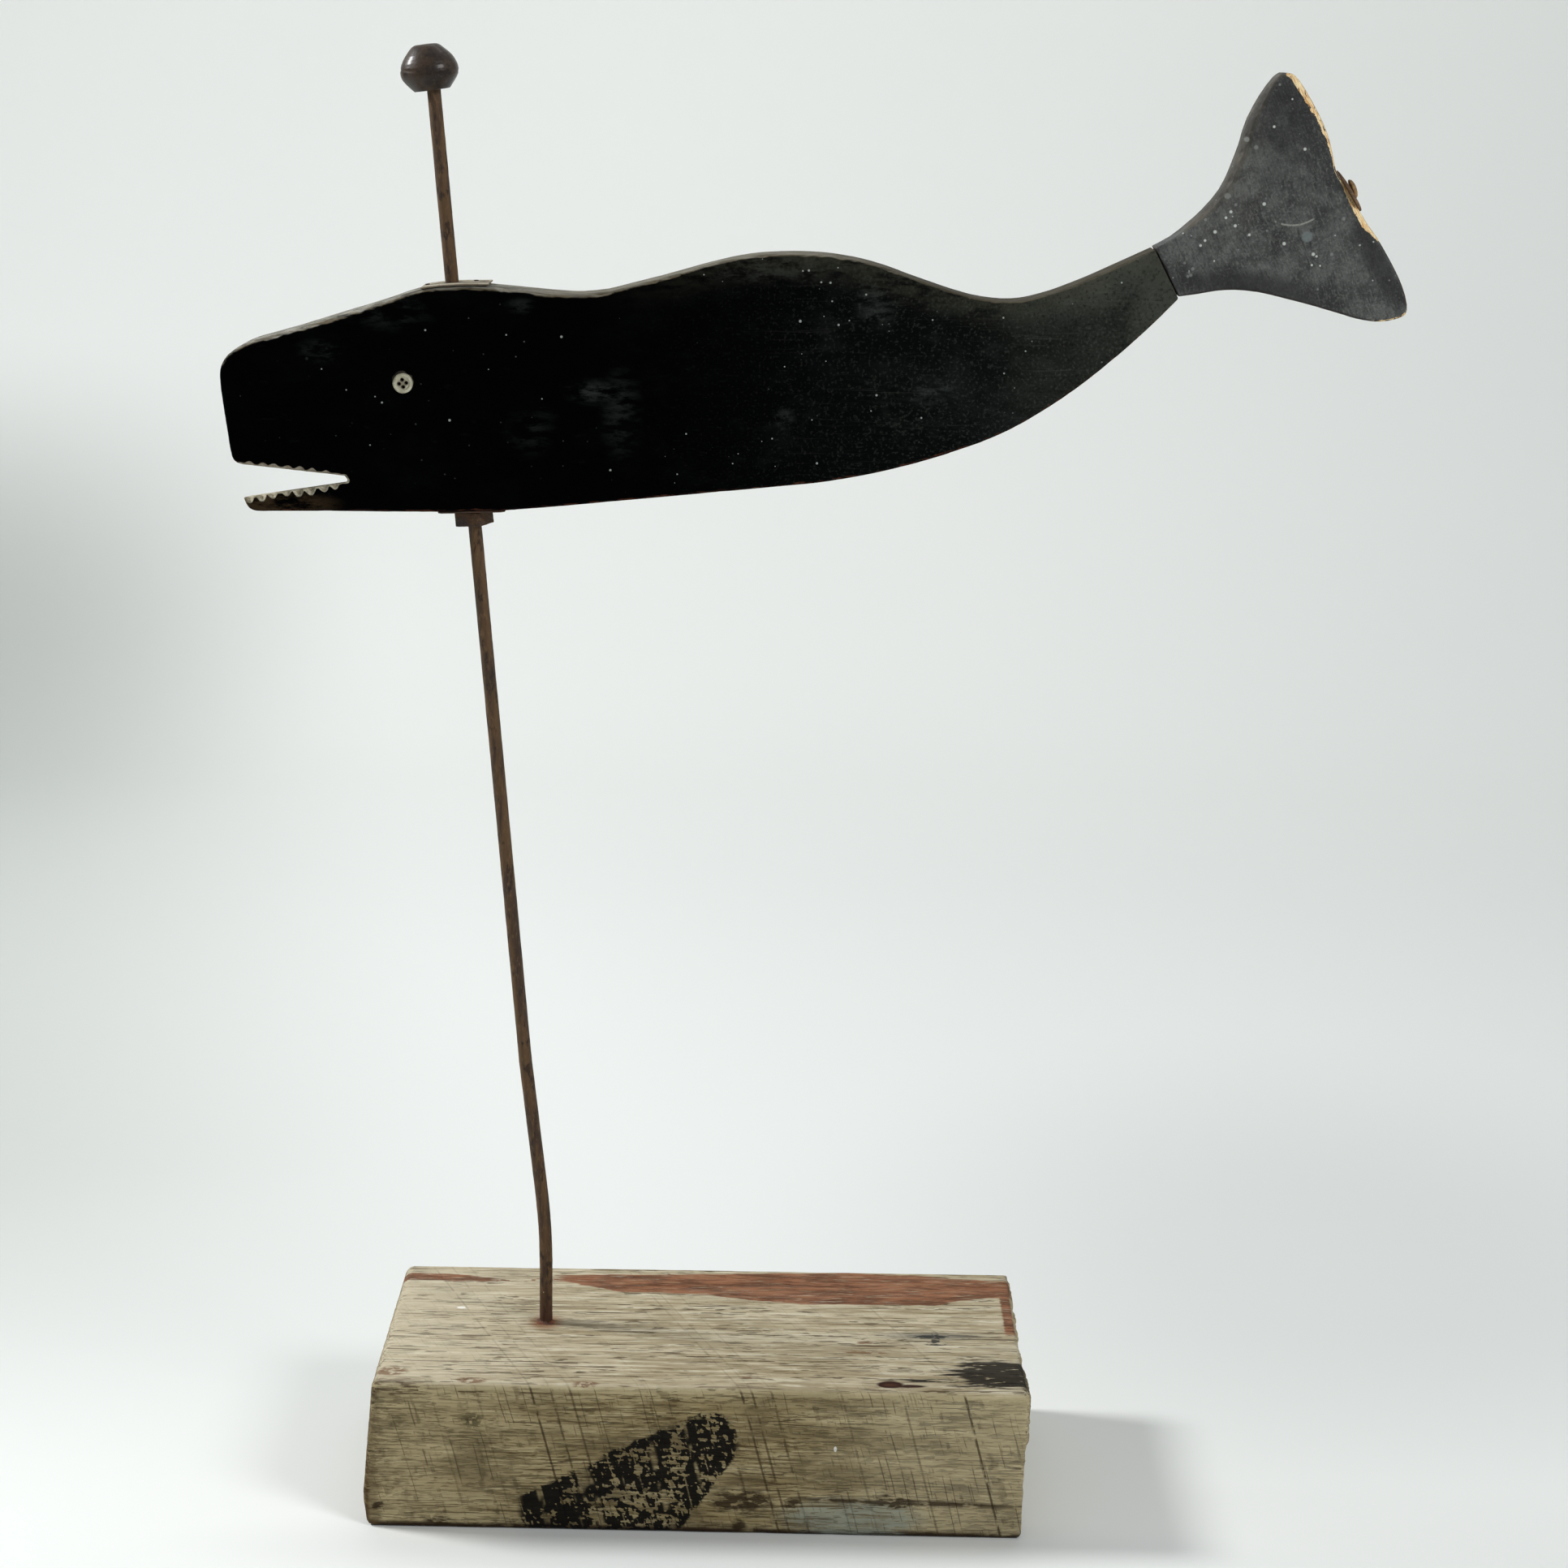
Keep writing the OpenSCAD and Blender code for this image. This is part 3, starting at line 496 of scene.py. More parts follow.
def red_paint(m, grain_at):
    """What is left along the back of the top and near its right end, and smears."""
    brush = m.sway(7, (22, 1.6, 1.6), 12, 3, 0.6)
    v = m.plus(m.y, brush)
    red = m.times(
        m.fade(m.less(v, m.curve(m.x, RED_FRONT)), -0.8, 0.8),
        m.fade(m.less(m.curve(m.x, RED_BACK), v), -0.8, 0.8))
    thin = m.fade(m.noise((9, 2.5, 2.5), 29, 3, 0.6), 0.5, 0.56)
    red = m.times(red, m.either(m.fade(m.x, -30, -40), m.fade(m.x, -2, 8), thin))
    end_strip = m.times(
        m.fade(m.plus(m.x, m.times(brush, 0.5)), 268.5, 270), m.fade(m.x, 276, 274.5),
        m.fade(m.y, -13, -6), m.fade(m.y, 56, 50))
    red = m.times(m.either(red, end_strip), m.fade(m.z, 84, 87))
    red = m.times(red, m.fade(m.noise((16, 1.1, 1.1), 13, 4, 0.65, at=grain_at), 0.7, 0.56))
    red_tone = m.mix(
        m.fade(m.noise((24, 5, 5), 14, 4, 0.65), 0.38, 0.62), (92, 55, 37), (139, 91, 64))
    m.paint(red_tone, red, 0.92)
    smears = m.either(m.spots(m.x, v, RED_SMEARS), m.spot(m.x, m.y, (119, -75), (3, 1.6)))
    smears = m.times(smears, m.fade(m.noise((5, 2.4, 2.4), 15, 3, 0.6), 0.4, 0.52), m.fade(m.z, 82, 85))
    m.paint((108, 74, 50), smears, 0.75)


def black_paint(m, across, front, height):
    """What is left on the front, broken along the grain and crossed by saw marks."""
    inside = m.times(
        m.fade(m.less(m.curve(m.x, PATCH_TOP), height), -1, 1.5),
        m.fade(m.less(height, m.curve(m.x, PATCH_FOOT)), -1, 1.5))
    inside = m.times(inside, m.fade(m.x, -11, -6), m.fade(m.x, 117, 112), front)
    woven = m.join(across, 0, m.z)
    kept = m.plus(
        m.times(m.noise((5, 1, 2.2), 16, 1, 0.5, at=woven), 0.45),
        m.times(m.noise((2.2, 1, 5), 31, 1, 0.5, at=woven), 0.35),
        m.times(m.noise((1.6, 1, 1.6), 36, 1, 0.5, at=woven), 0.2))
    limit = m.plus(
        m.fade(m.noise((16, 12, 12), 17, 3), 0.36, 0.6, 0.405, 0.475),
        m.times(m.spots(m.x, m.z, PATCH_HOLLOWS), 0.05))
    stroke = m.flip(m.times(m.lines(across, 7, 0.05, 18), 0.9))
    m.paint((74, 66, 48), inside, 0.15)
    m.paint((12, 11, 9), inside, m.fade(m.less(kept, limit), -0.012, 0.012), stroke, 0.98)


def black_end(m, grain_at):
    """A black patch at the right end of the top, with streaks beside it."""
    smear = m.plus(m.y, m.sway(12, (12, 2.5, 2.5), 19, 3))
    left_end = m.sway(60, (60, 4, 4), 20, 3)
    streaks = m.times(
        m.spot(m.x, m.y, (222, -76), (24, 2.6), 0.4), m.fade(m.noise((16, 2, 2), 32, 2), 0.4, 0.5))
    end_patch = m.times(
        m.fade(m.less(m.x, left_end), 236, 243), m.fade(smear, -86, -82), m.fade(smear, -46, -51),
        m.fade(m.x, 281, 276))
    end_patch = m.times(m.either(end_patch, streaks), m.fade(m.z, 82, 86))
    m.paint((27, 23, 19), end_patch, m.fade(m.noise((9, 2, 2), 21, 3, at=grain_at), 0.28, 0.38), 0.95)


def knots(m, front, ragged):
    """A dark knot on the top and a faint one on the front."""
    m.paint((50, 30, 22), m.spots(m.x, m.y, KNOT), m.fade(m.z, 81, 84))
    m.paint((88, 56, 40), m.spot(m.x, m.y, (200, -81.5), (4, 1.4), 0.5), m.fade(m.z, 81, 84), 0.4)
    m.paint(
        (66, 60, 38), m.spot(m.plus(m.x, ragged), m.z, (-35, 66), (6, 4.5), 0.6), front,
        m.fade(m.noise(2.5, 22), 0.4, 0.5), 0.75)


def stains(m, front, top, height, fleck, fibre):
    """Grey-blue round a split, pale blue and brown low on the front, rust round the rod, a painted shadow of
    the rod, and white chips.
    """
    m.paint((104, 104, 98), m.spot(m.x, m.y, (226, -13), (26, 5), 0.8), top, 0.65)
    m.paint((42, 44, 44), m.spots(m.x, m.y, SPLIT), top, m.fade(m.noise((5, 2.5, 2.5), 23), 0.4, 0.5), 0.9)
    m.paint(
        (146, 154, 142), m.spot(m.x, height, (180, 11), (37, 11), 0.3), front, m.flip(fleck),
        m.fade(fibre, 0.35, 0.6, 0.85, 0.55))
    brown = m.times(m.spots(m.x, height, BROWN_STAINS), m.fade(m.noise((8, 3, 3), 33, 3, 0.6), 0.38, 0.5))
    streak_z = m.plus(m.z, m.times(m.x, 0.02), m.sway(3, (30, 9, 9), 34, 3))
    streak = m.times(
        m.spot(m.x, streak_z, (206, 25.2), (74, 1.5), 0.5),
        m.fade(m.noise((16, 9, 9), 24), 0.42, 0.5))
    m.paint((50, 37, 22), m.either(brown, streak), front, 0.88)
    m.paint((120, 72, 36), m.spot(m.x, m.y, (0, -1), (9, 10), 0.5), top, 0.75)
    # Painted shadow: a grey streak on the top, running right and forwards from the rod
    m.paint((96, 88, 76), m.spot(m.x, m.plus(m.y, m.times(m.x, 0.12)), (26, 0), (34, 5), 0.8), top, 0.35)
    chips = m.either(
        m.spot(m.x, m.y, (-51.7, 19), (2.6, 1.6), 0.15), m.spot(m.x, m.z, (169.6, 53), (0.9, 1.6), 0.2))
    m.paint((232, 230, 222), chips)


def end_grain(m, dirt):
    """Rings and cracks at both ends."""
    ends = m.either(m.fade(m.x, 277, 280), m.fade(m.x, -93, -95.5))
    m.paint((112, 92, 60), ends, m.fade(m.noise((4, 3, 1.1), 25, 4, 0.65), 0.35, 0.65))
    from_pith = m.plus(m.length(m.plus(m.y, 24), m.plus(m.z, 60)), m.times(dirt, 3))
    rings = m.noise((3, 1, 1), 37, 2, at=m.join(from_pith, 0, 0))
    m.paint((68, 52, 32), ends, m.fade(rings, 0.48, 0.57), 0.75)
    cracks = m.times(
        m.fade(m.noise((26, 1.5, 1.2), 26, 3), 0.63, 0.68),
        m.either(m.fade(m.x, 262, 280), m.fade(m.x, -82, -96)))
    m.paint((46, 36, 24), cracks, 0.85)
    return cracks


def timber():
    m = Finish("weathered timber")
    drift = m.sway(10, (260, 60, 60), 1, 2)
    grain_at = m.vector("ADD", m.at, m.join(0, drift, drift))
    across = m.plus(m.x, m.times(m.z, SAW_SLOPE_FRONT), m.times(m.y, SAW_SLOPE_TOP))
    front = m.fade(m.y, -84, -87.5)
    top = m.fade(m.z, 84.5, 88)
    ragged = m.sway(12, (9, 3, 3), 15, 3, 0.6)
    height = m.plus(m.z, ragged)
    band, fibre = bare_wood(m, grain_at)
    fleck = open_pores(m, grain_at)
    dirt = shaded_dirty_sides(m, grain_at, m.flip(top))
    marks = saw_marks(m, across, top)
    red_paint(m, grain_at)
    black_end(m, grain_at)
    black_paint(m, across, front, height)
    knots(m, front, ragged)
    stains(m, front, top, height, fleck, fibre)
    cracks = end_grain(m, dirt)
    relief = m.bump(m.plus(m.times(fibre, 0.6), m.times(fleck, -0.8), m.times(band, 0.4)), 0.6)
    relief = m.bump(m.flip(m.either(marks, m.times(cracks, 1.5))), 0.45, relief)
    shine = m.fade(fibre, 0.3, 0.7, 0.82, 0.95)
    return m.done(shine, relief, 0.12)


def make_block():
    low, high = (np.array(corner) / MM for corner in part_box("base_block"))

    def depth(points, normals):
        x, y, z = points.T
        to_faces = np.sort(np.minimum(points - low, high - points), axis=1)
        by_arris = ease(to_faces[:, 1], 8, 0)
        lasting = 1 - 0.75 * np.maximum(ease(y, 40, 75), ease(z, 20, 4))
        grain = 0.16 * np.maximum(rough_noise(points, (34, 4, 4), 1), 0)
        grain += 0.1 * (1 + noise(points, (60, 11, 11), 5))
        chips = by_arris * lasting * np.maximum(rough_noise(points, (16, 7, 7), 9), 0) * 1.8
        nicks = by_arris**2 * (1 + noise(points, (3.5, 3, 3), 14)) * 0.18 * lasting
        right = ease(x, high[0] - 14, high[0] - 1) * ease(normals[:, 0], 0.2, 0.7)
        left = ease(x, low[0] + 16, low[0] + 5) * ease(normals[:, 0], -0.2, -0.7)
        bulge = ease(y, -30, -70) * ease(z, 48, 60)
        torn = np.maximum(rough_noise(points, (60, 9, 4.5), 21, 4) + 0.25, 0)
        steps = ease(noise(points, (80, 14, 9), 24), -0.1, 0.05)
        sawn = 1 + noise(points, (60, 2.6, 1.8), 31)
        broken = (1 - bulge) * (1.2 + 1.2 * steps + 1.2 * torn) + 0.6 * sawn
        ends = right * broken + left * 0.12 * (torn + sawn)
        knot = np.hypot((x - 200) / 8, (y + 83) / 3.4)
        sunk = 0.7 * ease(knot, 1.2, 0.5) * ease(z, 80, 86)
        return grain + chips + nicks + ends + sunk

    make_worn("base_block", "timber_block", 1.35, depth, "stand", timber())


# Iron pieces

def rust(name, dark, light, bright, grain, pale=0.12):
    """Rusted iron: dark scale, lighter rust in patches and a few bright crumbs."""
    m = Finish(name)
    patch = m.noise(4 * grain, 31, 4, 0.62)
    fine = m.noise(grain, 32, 4, 0.7)
    crumbs = m.fade(m.noise(0.45 * grain, 33, 2), 0.64, 0.72)
    m.colour = m.mix(m.fade(patch, 0.38, 0.62), dark, light)
    m.paint(bright, m.fade(fine, 0.52, 0.72, 0, 0.7))
    m.paint((22, 16, 13), m.fade(fine, 0.45, 0.28, 0, 0.65))
    m.paint((176, 160, 140), crumbs, pale)
    return m.done(
        m.fade(patch, 0.35, 0.7, 0.62, 0.86), m.bump(m.plus(fine, m.times(crumbs, 0.4)), 0.25), 0.35)


def make_pitted(node, name, voxel, pits, body, finish):
    """A copy of a CAD node with pits and flakes all over. Pits are given as depth, size and seed."""
    amount, size, seed = pits

    def depth(points, normals):
        crumbs = np.maximum(noise(points, size / 3, seed + 5), 0)
        return amount * (1.1 + rough_noise(points, size, seed) - 0.8 * crumbs)

    make_worn(node, name, voxel, depth, body, finish)


def centre_of_rod(surface, z):
    """Middle and radius of the CAD rod at a height, found from its surface."""
    reach = 60 * MM
    middle_x = ROD["pos_m"][0] if z < ELBOW.z else BELLY.x * MM
    sides = []
    for way in (1, -1):
        start = Vector((middle_x - way * reach, 0, z * MM))
        hit = surface.ray_cast(start, Vector((way, 0, 0)))[0]
        sides.append(hit.x / MM)
    return sum(sides) / 2, abs(sides[1] - sides[0]) / 2


def make_rod():
    source = frame["nodes"]["spindle_rod"].data
    surface = BVHTree.FromPolygons([v.co for v in source.vertices], [f.vertices for f in source.polygons])
    low, high = (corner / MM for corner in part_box("spindle_rod"))
    step, sides, end, scale_depth = 1.5, 40, 0.7, 0.07
    rows = []
    for z in np.arange(low.z + end, high.z - end, step):
        x, radius = centre_of_rod(surface, z)
        row = []
        for angle in turns(sides):
            at = np.array([[x + radius * math.cos(angle), radius * math.sin(angle), z]])
            scale = noise(at, (2.6, 2.6, 7), 51)[0] + 0.6 * noise(at, (1.3, 1.3, 2.4), 52)[0]
            r = radius - scale_depth * (1.4 + scale)
            row.append((x + r * math.cos(angle), r * math.sin(angle), z))
        rows.append(row)
    stands_for(ring_piece("iron_rod", rows, False), "spindle_rod", "stand", rod_rust())


def rod_rust():
    """Brown rust in long runs, with dark scabs and pale specks, and redder at the foot."""
    m = Finish("rod rust")
    patch = m.noise((5, 5, 34), 41, 4, 0.6)
    fine = m.noise((1.5, 1.5, 5), 42, 4, 0.7)
    scab = m.fade(m.noise((3.4, 3.4, 9), 43, 3, 0.6), 0.56, 0.66)
    m.colour = m.mix(m.fade(patch, 0.36, 0.64), (54, 37, 24), (92, 69, 45))
    m.paint((118, 92, 62), m.fade(fine, 0.5, 0.72, 0, 0.6))
    m.paint((27, 17, 12), scab, 0.75)
    m.paint((62, 32, 18), m.fade(m.z, 118, 89), 0.7)
    m.paint((190, 178, 160), m.dots(7, 0.45, 0.16, 44), 0.8)
    return m.done(m.fade(patch, 0.35, 0.7, 0.6, 0.85), m.bump(m.less(fine, m.times(scab, -0.3)), 0.3), 0.35)


def make_rust_collar():
    """A crust of rust where the rod enters the timber."""
    rings, sides = 7, 64
    inner, outer, height, sunk = 3.3, 6.6, 1.5, 0.5
    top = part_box("base_block")[1].z / MM
    rows = []
    for share in np.linspace(0, 1, rings):
        row = []
        for angle in turns(sides):
            at = np.array([[math.cos(angle), math.sin(angle), 0]])
            reach = outer + 1.4 * noise(at, 0.8, 61)[0]
            r = inner + (reach - inner) * share
            lumps = 1 + 0.5 * noise(at * (1 + 3 * share), 0.5, 62)[0]
            up = height * (1 - share) ** 1.6 * lumps - sunk * share
            row.append((r * math.cos(angle), r * math.sin(angle), top + up))
        rows.append(row)
    base = [(x, y, z - 2.2) for x, y, z in rows[0]]
    rim = [(x, y, z - 0.8) for x, y, z in rows[-1]]
    finish = rust("collar rust", (64, 36, 22), (120, 66, 34), (150, 92, 50), 1.2)
    added(ring_piece("rust_collar", [base, *rows, rim], True), "stand", finish)


def knob_iron():
    m = Finish("handled iron")
    cloud = m.noise(9, 71, 4, 0.6)
    fine = m.noise(1.4, 72, 4, 0.7)
    m.colour = m.mix(m.fade(cloud, 0.36, 0.64), (28, 18, 11), (58, 43, 30))
    m.paint((86, 70, 52), m.fade(fine, 0.54, 0.7, 0, 0.5))
    m.paint((20, 14, 11), m.fade(fine, 0.44, 0.3, 0, 0.7))
    m.put(m.shader.inputs["Coat Weight"], 0.28)
    m.put(m.shader.inputs["Coat Roughness"], 0.18)
    return m.done(
        m.fade(m.plus(cloud, m.times(fine, 0.4)), 0.5, 0.9, 0.3, 0.5), m.bump(m.plus(fine, cloud), 0.18),
        0.15)


def make_knob():
    low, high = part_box("finial_knob")
    middle = (low.z + high.z) / 2 / MM

    def depth(points, normals):
        dents = 0.3 * np.maximum(noise(points, 9, 73), 0) + 0.1 * (1 + noise(points, 5, 74)) / 2
        crease = ease(np.abs(points[:, 2] - middle + 1.6 - 0.9 * noise(points, 14, 75)), 1.4, 0)
        return dents + 0.3 * crease * ease(noise(points, (9, 9, 40), 76), -0.4, 0.4)

    make_worn("finial_knob", "iron_knob", 0.32, depth, "stand", knob_iron())


def make_nut():
    finish = rust("nut rust", (40, 27, 19), (74, 52, 33), (112, 82, 48), 2.6, 0.1)
    make_pitted("support_nut", "square_nut", 0.26, (0.12, 3, 81), "stand", finish)


# Painted whale

def paint_specks(m, pale, spread):
    """White paint spots, gathered where spread says."""
    small = m.dots(4.3, 0.5, 0.3, 91)
    large = m.dots(12, 0.9, 0.35, 92)
    pick = m.fade(m.noise(9, 93, 2), 0.42, 0.56)
    m.paint(pale, m.either(m.times(small, pick), large), spread)


# Spots of white paint on the whale: place along and up the face, and radius
WHALE_DROPS = [
    (-24, 98.8, 0.7), (-48, 59.2, 0.7), (-11.3, 50.1, 0.9), (-67.3, 65.8, 0.5), (19.8, 96.9, 0.6),
    (49.7, 96.3, 0.9), (-54.8, 35.9, 0.5), (39.1, 62.5, 0.5), (10.1, 78.1, 0.4), (-80.5, 77, 0.5),
    (-51.7, 62.4, 0.5), (179, 106.6, 1), (190, 127.7, 0.7), (195, 127.5, 0.8), (183.2, 133.9, 0.8),
    (180, 133.6, 0.6), (198.9, 135.6, 0.5), (196.1, 117.6, 0.6), (199.8, 104.9, 0.8), (205.6, 107.3, 0.5),
    (191.8, 109.4, 0.4), (214.4, 121.4, 0.7), (250.7, 108.3, 0.6), (289, 110.1, 0.7), (221.2, 67.1, 0.8),
    (245.9, 55.1, 0.7), (301.6, 92.2, 0.6), (290.3, 80, 0.6), (189.4, 29.4, 0.8), (164.7, 42.6, 0.6),
    (117.7, 44.5, 0.6), (143.3, 28.6, 0.5), (76.4, 24, 0.8), (170.9, 81.9, 0.5), (218.4, 58.5, 0.5),
    (126.6, 130.8, 0.5), (352.4, 129.9, 0.7), (146.2, 34, 0.4)]
# Grey smudges on it: place, half length and half height, and strength
SMUDGES = [
    (68, 66.5, 12, 5, 1), (82, 55, 8, 19, 0.55), (171.3, 53.4, 4.5, 4.5, 1), (251, 69.4, 12, 6, 1),
    (220, 117, 9, 11, 1), (161, 135, 30, 6, 0.8), (-80.7, 86.7, 10, 5, 0.5), (-43.7, 108.3, 17, 8, 0.4),
    (27.7, 113, 6, 3, 0.6), (33, 45, 10, 10, 0.35)]
# Height of the back's edge
BACK_EDGE = [
    (45, 122), (71, 120), (103, 130), (144, 141), (179, 144), (208, 141), (243, 129), (273, 122), (296, 120),
    (325, 129), (365, 147)]


def black_board(m, fibre, dust):
    """Black paint, worn and dusty towards the tail, and paler there and near the back's edge with painted
    light.
    """
    tail = m.fade(m.x, 90, 400)
    cloud = m.noise((60, 34, 34), 103, 5, 0.62)
    # Paler towards the tail: partly painted light from the right, partly wear
    m.colour = m.mix(tail, (1, 1, 2), (17, 20, 19))
    patchy = m.noise((22, 14, 14), 113, 4, 0.65)
    below = m.less(m.curve(m.x, BACK_EDGE), m.z)
    # Painted light: paler grey near the back's edge and at the stock, in the tail's half
    lit = m.either(m.fade(below, 28, 8, 0.35, 1), m.fade(m.x, 345, 368, 0, 0.9))
    m.paint((72, 74, 67), m.fade(m.x, 270, 350), lit, m.fade(patchy, 0.38, 0.6, 0.7, 1))
    m.paint((48, 52, 49), m.fade(patchy, 0.5, 0.7), m.fade(m.x, 60, 380), 0.35)
    m.paint((42, 46, 45), m.fade(cloud, 0.5, 0.75), m.fade(tail, 0, 1, 0.1, 1), 0.5)
    m.paint((84, 88, 84), m.fade(dust, 0.6, 0.78), m.fade(tail, 0, 1, 0.07, 1), 0.5)
    m.paint((84, 86, 80), m.fade(fibre, 0.58, 0.75), tail, 0.3)
    smudge = m.either(*[m.times(m.spot(m.x, m.z, s[:2], s[2:4], 0.8), s[4]) for s in SMUDGES])
    m.paint((84, 90, 86), smudge, m.fade(dust, 0.42, 0.62), 0.26)
    m.paint((74, 74, 62), m.fade(below, 20, 2), m.fade(m.x, 60, 200), m.fade(dust, 0.3, 0.6), 0.4)
    grit = m.noise(1.5, 112, 2)
    m.paint((80, 84, 78), m.fade(grit, 0.54, 0.7), m.fade(m.x, 60, 400), 0.34)
    m.paint((8, 8, 8), m.fade(grit, 0.46, 0.3), m.fade(m.x, 20, 380), 0.5)


def board_edges(m, flat, face, dust):
    """A chalky top edge with its paint worn thin, and a darker and redder underside."""
    edge = m.times(m.fade(m.nz, 0.35, 0.75), m.flip(face), m.fade(m.nx, 0.55, 0.4))
    chalk = m.mix(
        m.fade(m.noise((26, 3, 3), 105, 4, 0.6), 0.36, 0.62), (90, 89, 82), (160, 158, 148))
    chalk = m.mix(m.fade(m.noise((5, 1.6, 1.6), 106, 3, 0.6), 0.62, 0.7, 0, 0.8), chalk, (52, 48, 42))
    chalk = m.mix(m.fade(m.x, -10, 60, 0, 0.5), chalk, (104, 98, 84))
    chalk = m.mix(m.fade(m.x, 150, 260, 0, 0.8), chalk, (62, 58, 49))
    m.paint(chalk, edge, m.fade(dust, 0.2, 0.5, 0.75, 1))
    worn_arris = m.fade(m.noise((12, 2, 2), 107, 4, 0.65), 0.4, 0.6)
    worn_arris = m.times(worn_arris, m.fade(m.x, 90, 260, 0.7, 0.3))
    m.paint(
        (112, 102, 82), m.fade(m.nz, 0.25, 0.5), m.fade(flat, 0.4, 0.72), m.fade(flat, 0.97, 0.88),
        worn_arris)
    m.paint((34, 22, 20), m.fade(m.nz, -0.25, -0.6), m.flip(face), 0.7)
    m.paint(
        (86, 52, 38), m.fade(m.nz, -0.2, -0.45), m.fade(flat, 0.35, 0.7),
        m.fade(m.noise((9, 2, 2), 108, 4, 0.65), 0.5, 0.6), 0.7)


def bare_mouth(m, flat, face, dust):
    """Saw-cut mouth and chipped teeth: bare wood, grey with age."""
    jaw = m.times(m.fade(m.x, -60, -64), m.fade(m.z, 2.5, 4.5), m.fade(m.z, 33, 30))
    cut = m.times(jaw, m.fade(flat, 0.97, 0.9), m.fade(m.x, -127.5, -125.5))
    bare = m.mix(m.fade(m.noise((5, 1.4, 1.4), 109, 4, 0.65), 0.36, 0.64), (150, 142, 120), (204, 198, 178))
    bare = m.mix(m.times(m.flip(m.fade(m.z, 18.5, 15.5)), 0.6), bare, (96, 84, 76))
    m.paint(bare, cut)
    m.paint((66, 53, 37), m.spot(m.x, m.z, (-104, 3), (26, 6), 0.5), m.fade(dust, 0.36, 0.6), face, 0.75)
    m.paint((96, 82, 58), m.fade(m.x, -120, -125), m.fade(m.z, 9, 6), 0.7)


def whale_paint():
    m = Finish("black board paint", BELLY)
    grain_at = m.vector("ADD", m.at, m.join(0, 0, m.times(m.noise((120, 40, 30), 101, 2), 14)))
    fibre = m.noise((46, 1.2, 1.2), 102, 4, 0.6, at=grain_at)
    dust = m.noise((14, 5, 5), 104, 5, 0.7)
    flat = m.size_of(m.ny)
    face = m.fade(flat, 0.7, 0.95)
    black_board(m, fibre, dust)
    board_edges(m, flat, face, dust)
    bare_mouth(m, flat, face, dust)
    # Bare end grain at the joint
    m.paint((52, 40, 28), m.fade(m.plus(m.x, m.times(m.z, -0.53)), 302, 306), m.fade(m.nx, 0.8, 0.88))
    # White paint spots, fewest on the head
    spread = m.fade(m.noise(46, 110, 2), 0.42, 0.62, 0.15, 1)
    spread = m.times(spread, m.fade(m.x, -20, 140, 0.05, 0.8), m.fade(m.x, 330, 240, 0.4, 1))
    m.paint((170, 176, 170), m.drops(WHALE_DROPS, 0.72), m.fade(m.ny, 0, -0.5), 0.85)
    paint_specks(m, (196, 202, 198), spread)
    return m.done(
        m.fade(dust, 0.35, 0.7, 0.62, 0.8), m.bump(m.plus(m.times(fibre, 0.7), m.times(dust, 0.5)), 0.22),
        0.012)


def board_wear(points, normals, seed, grain):
    """Soft unevenness of a hand-sawn board, with nibbled arrises."""
    flat = np.abs(normals[:, 1])
    arris = 4 * flat**2 * (1 - flat**2)
    waves = 0.14 * np.maximum(noise(points, 45, seed), 0)
    fibres = 0.07 * np.maximum(noise(points, grain, seed + 1), 0)
    nibbles = arris * np.maximum(rough_noise(points, 7, seed + 2), 0)
    crumbs = 0.2 * arris * np.maximum(noise(points, 2.2, seed + 7), 0)
    edge = (1 - flat) * 0.22 * np.maximum(noise(points, (9, 30, 9), seed + 8), 0)
    off_joint = ease(np.abs(normals @ np.array(JOINT_OUT)), 0.95, 0.85)
    return off_joint * (waves + fibres + nibbles + crumbs + edge)


def make_whale():
    def depth(points, normals):
        return board_wear(points, normals, 201, (60, 3, 2.6))

    make_worn("whale_body", "whale_board", 0.75, depth, "vane", whale_paint())


# Tail fluke

# Lean of its grain, in degrees
FLUKE_GRAIN = 68
# Share of the trailing arris that has lost its paint, by height
FLAKED = [
    (-30, 0), (15, 0), (19, 0.2), (25, 0.85), (35, 0.95), (44, 0.8), (52, 0.3), (58, 0.3), (68, 0.45),
    (82, 0.58), (91, 0.72), (98, 0.95), (106, 1), (112, 0.7)]
# Spots of white paint that stand out: place along and up the face, and radius
DROPS = [
    (33.1, 33.7, 0.8), (30.6, 30.5, 0.7), (35.8, 26.3, 0.8), (25.1, 22.9, 0.9), (19.9, 18.2, 0.7),
    (17.6, 15.5, 0.7), (43.6, 21.6, 0.7), (50.8, 38.1, 0.9), (62.6, 17.2, 0.9), (78.6, 11.8, 0.9),
    (80.4, 10.7, 0.6), (78.1, 6, 0.6), (82.6, 5.7, 0.5), (54.1, 78.9, 0.7), (71.2, 67.4, 0.8),
    (63.1, 93.5, 0.5)]
DULL_DROPS = [
    (19.7, 29.2, 0.8), (9.5, 6, 0.6), (11.5, -1, 0.8), (13, -0.4, 0.9), (14, 3, 0.9), (12, 1, 0.7),
    (88.5, 11.8, 0.9), (82, -7, 0.6), (40, 72, 1.3), (45, 68, 1.1), (56, 101, 0.7), (53, 24, 0.6),
    (31, 42, 1.6), (94, 31, 1), (35.5, 37.5, 0.8)]


def fluke_grain(m):
    """The place measured along the fluke's grain, which leans."""
    turn = math.radians(FLUKE_GRAIN)
    along = m.plus(m.times(m.x, -math.cos(turn)), m.times(m.z, math.sin(turn)))
    across = m.plus(m.times(m.x, math.sin(turn)), m.times(m.z, math.cos(turn)))
    return m.join(along, m.y, m.plus(across, m.times(m.noise(40, 121, 2), 9)))


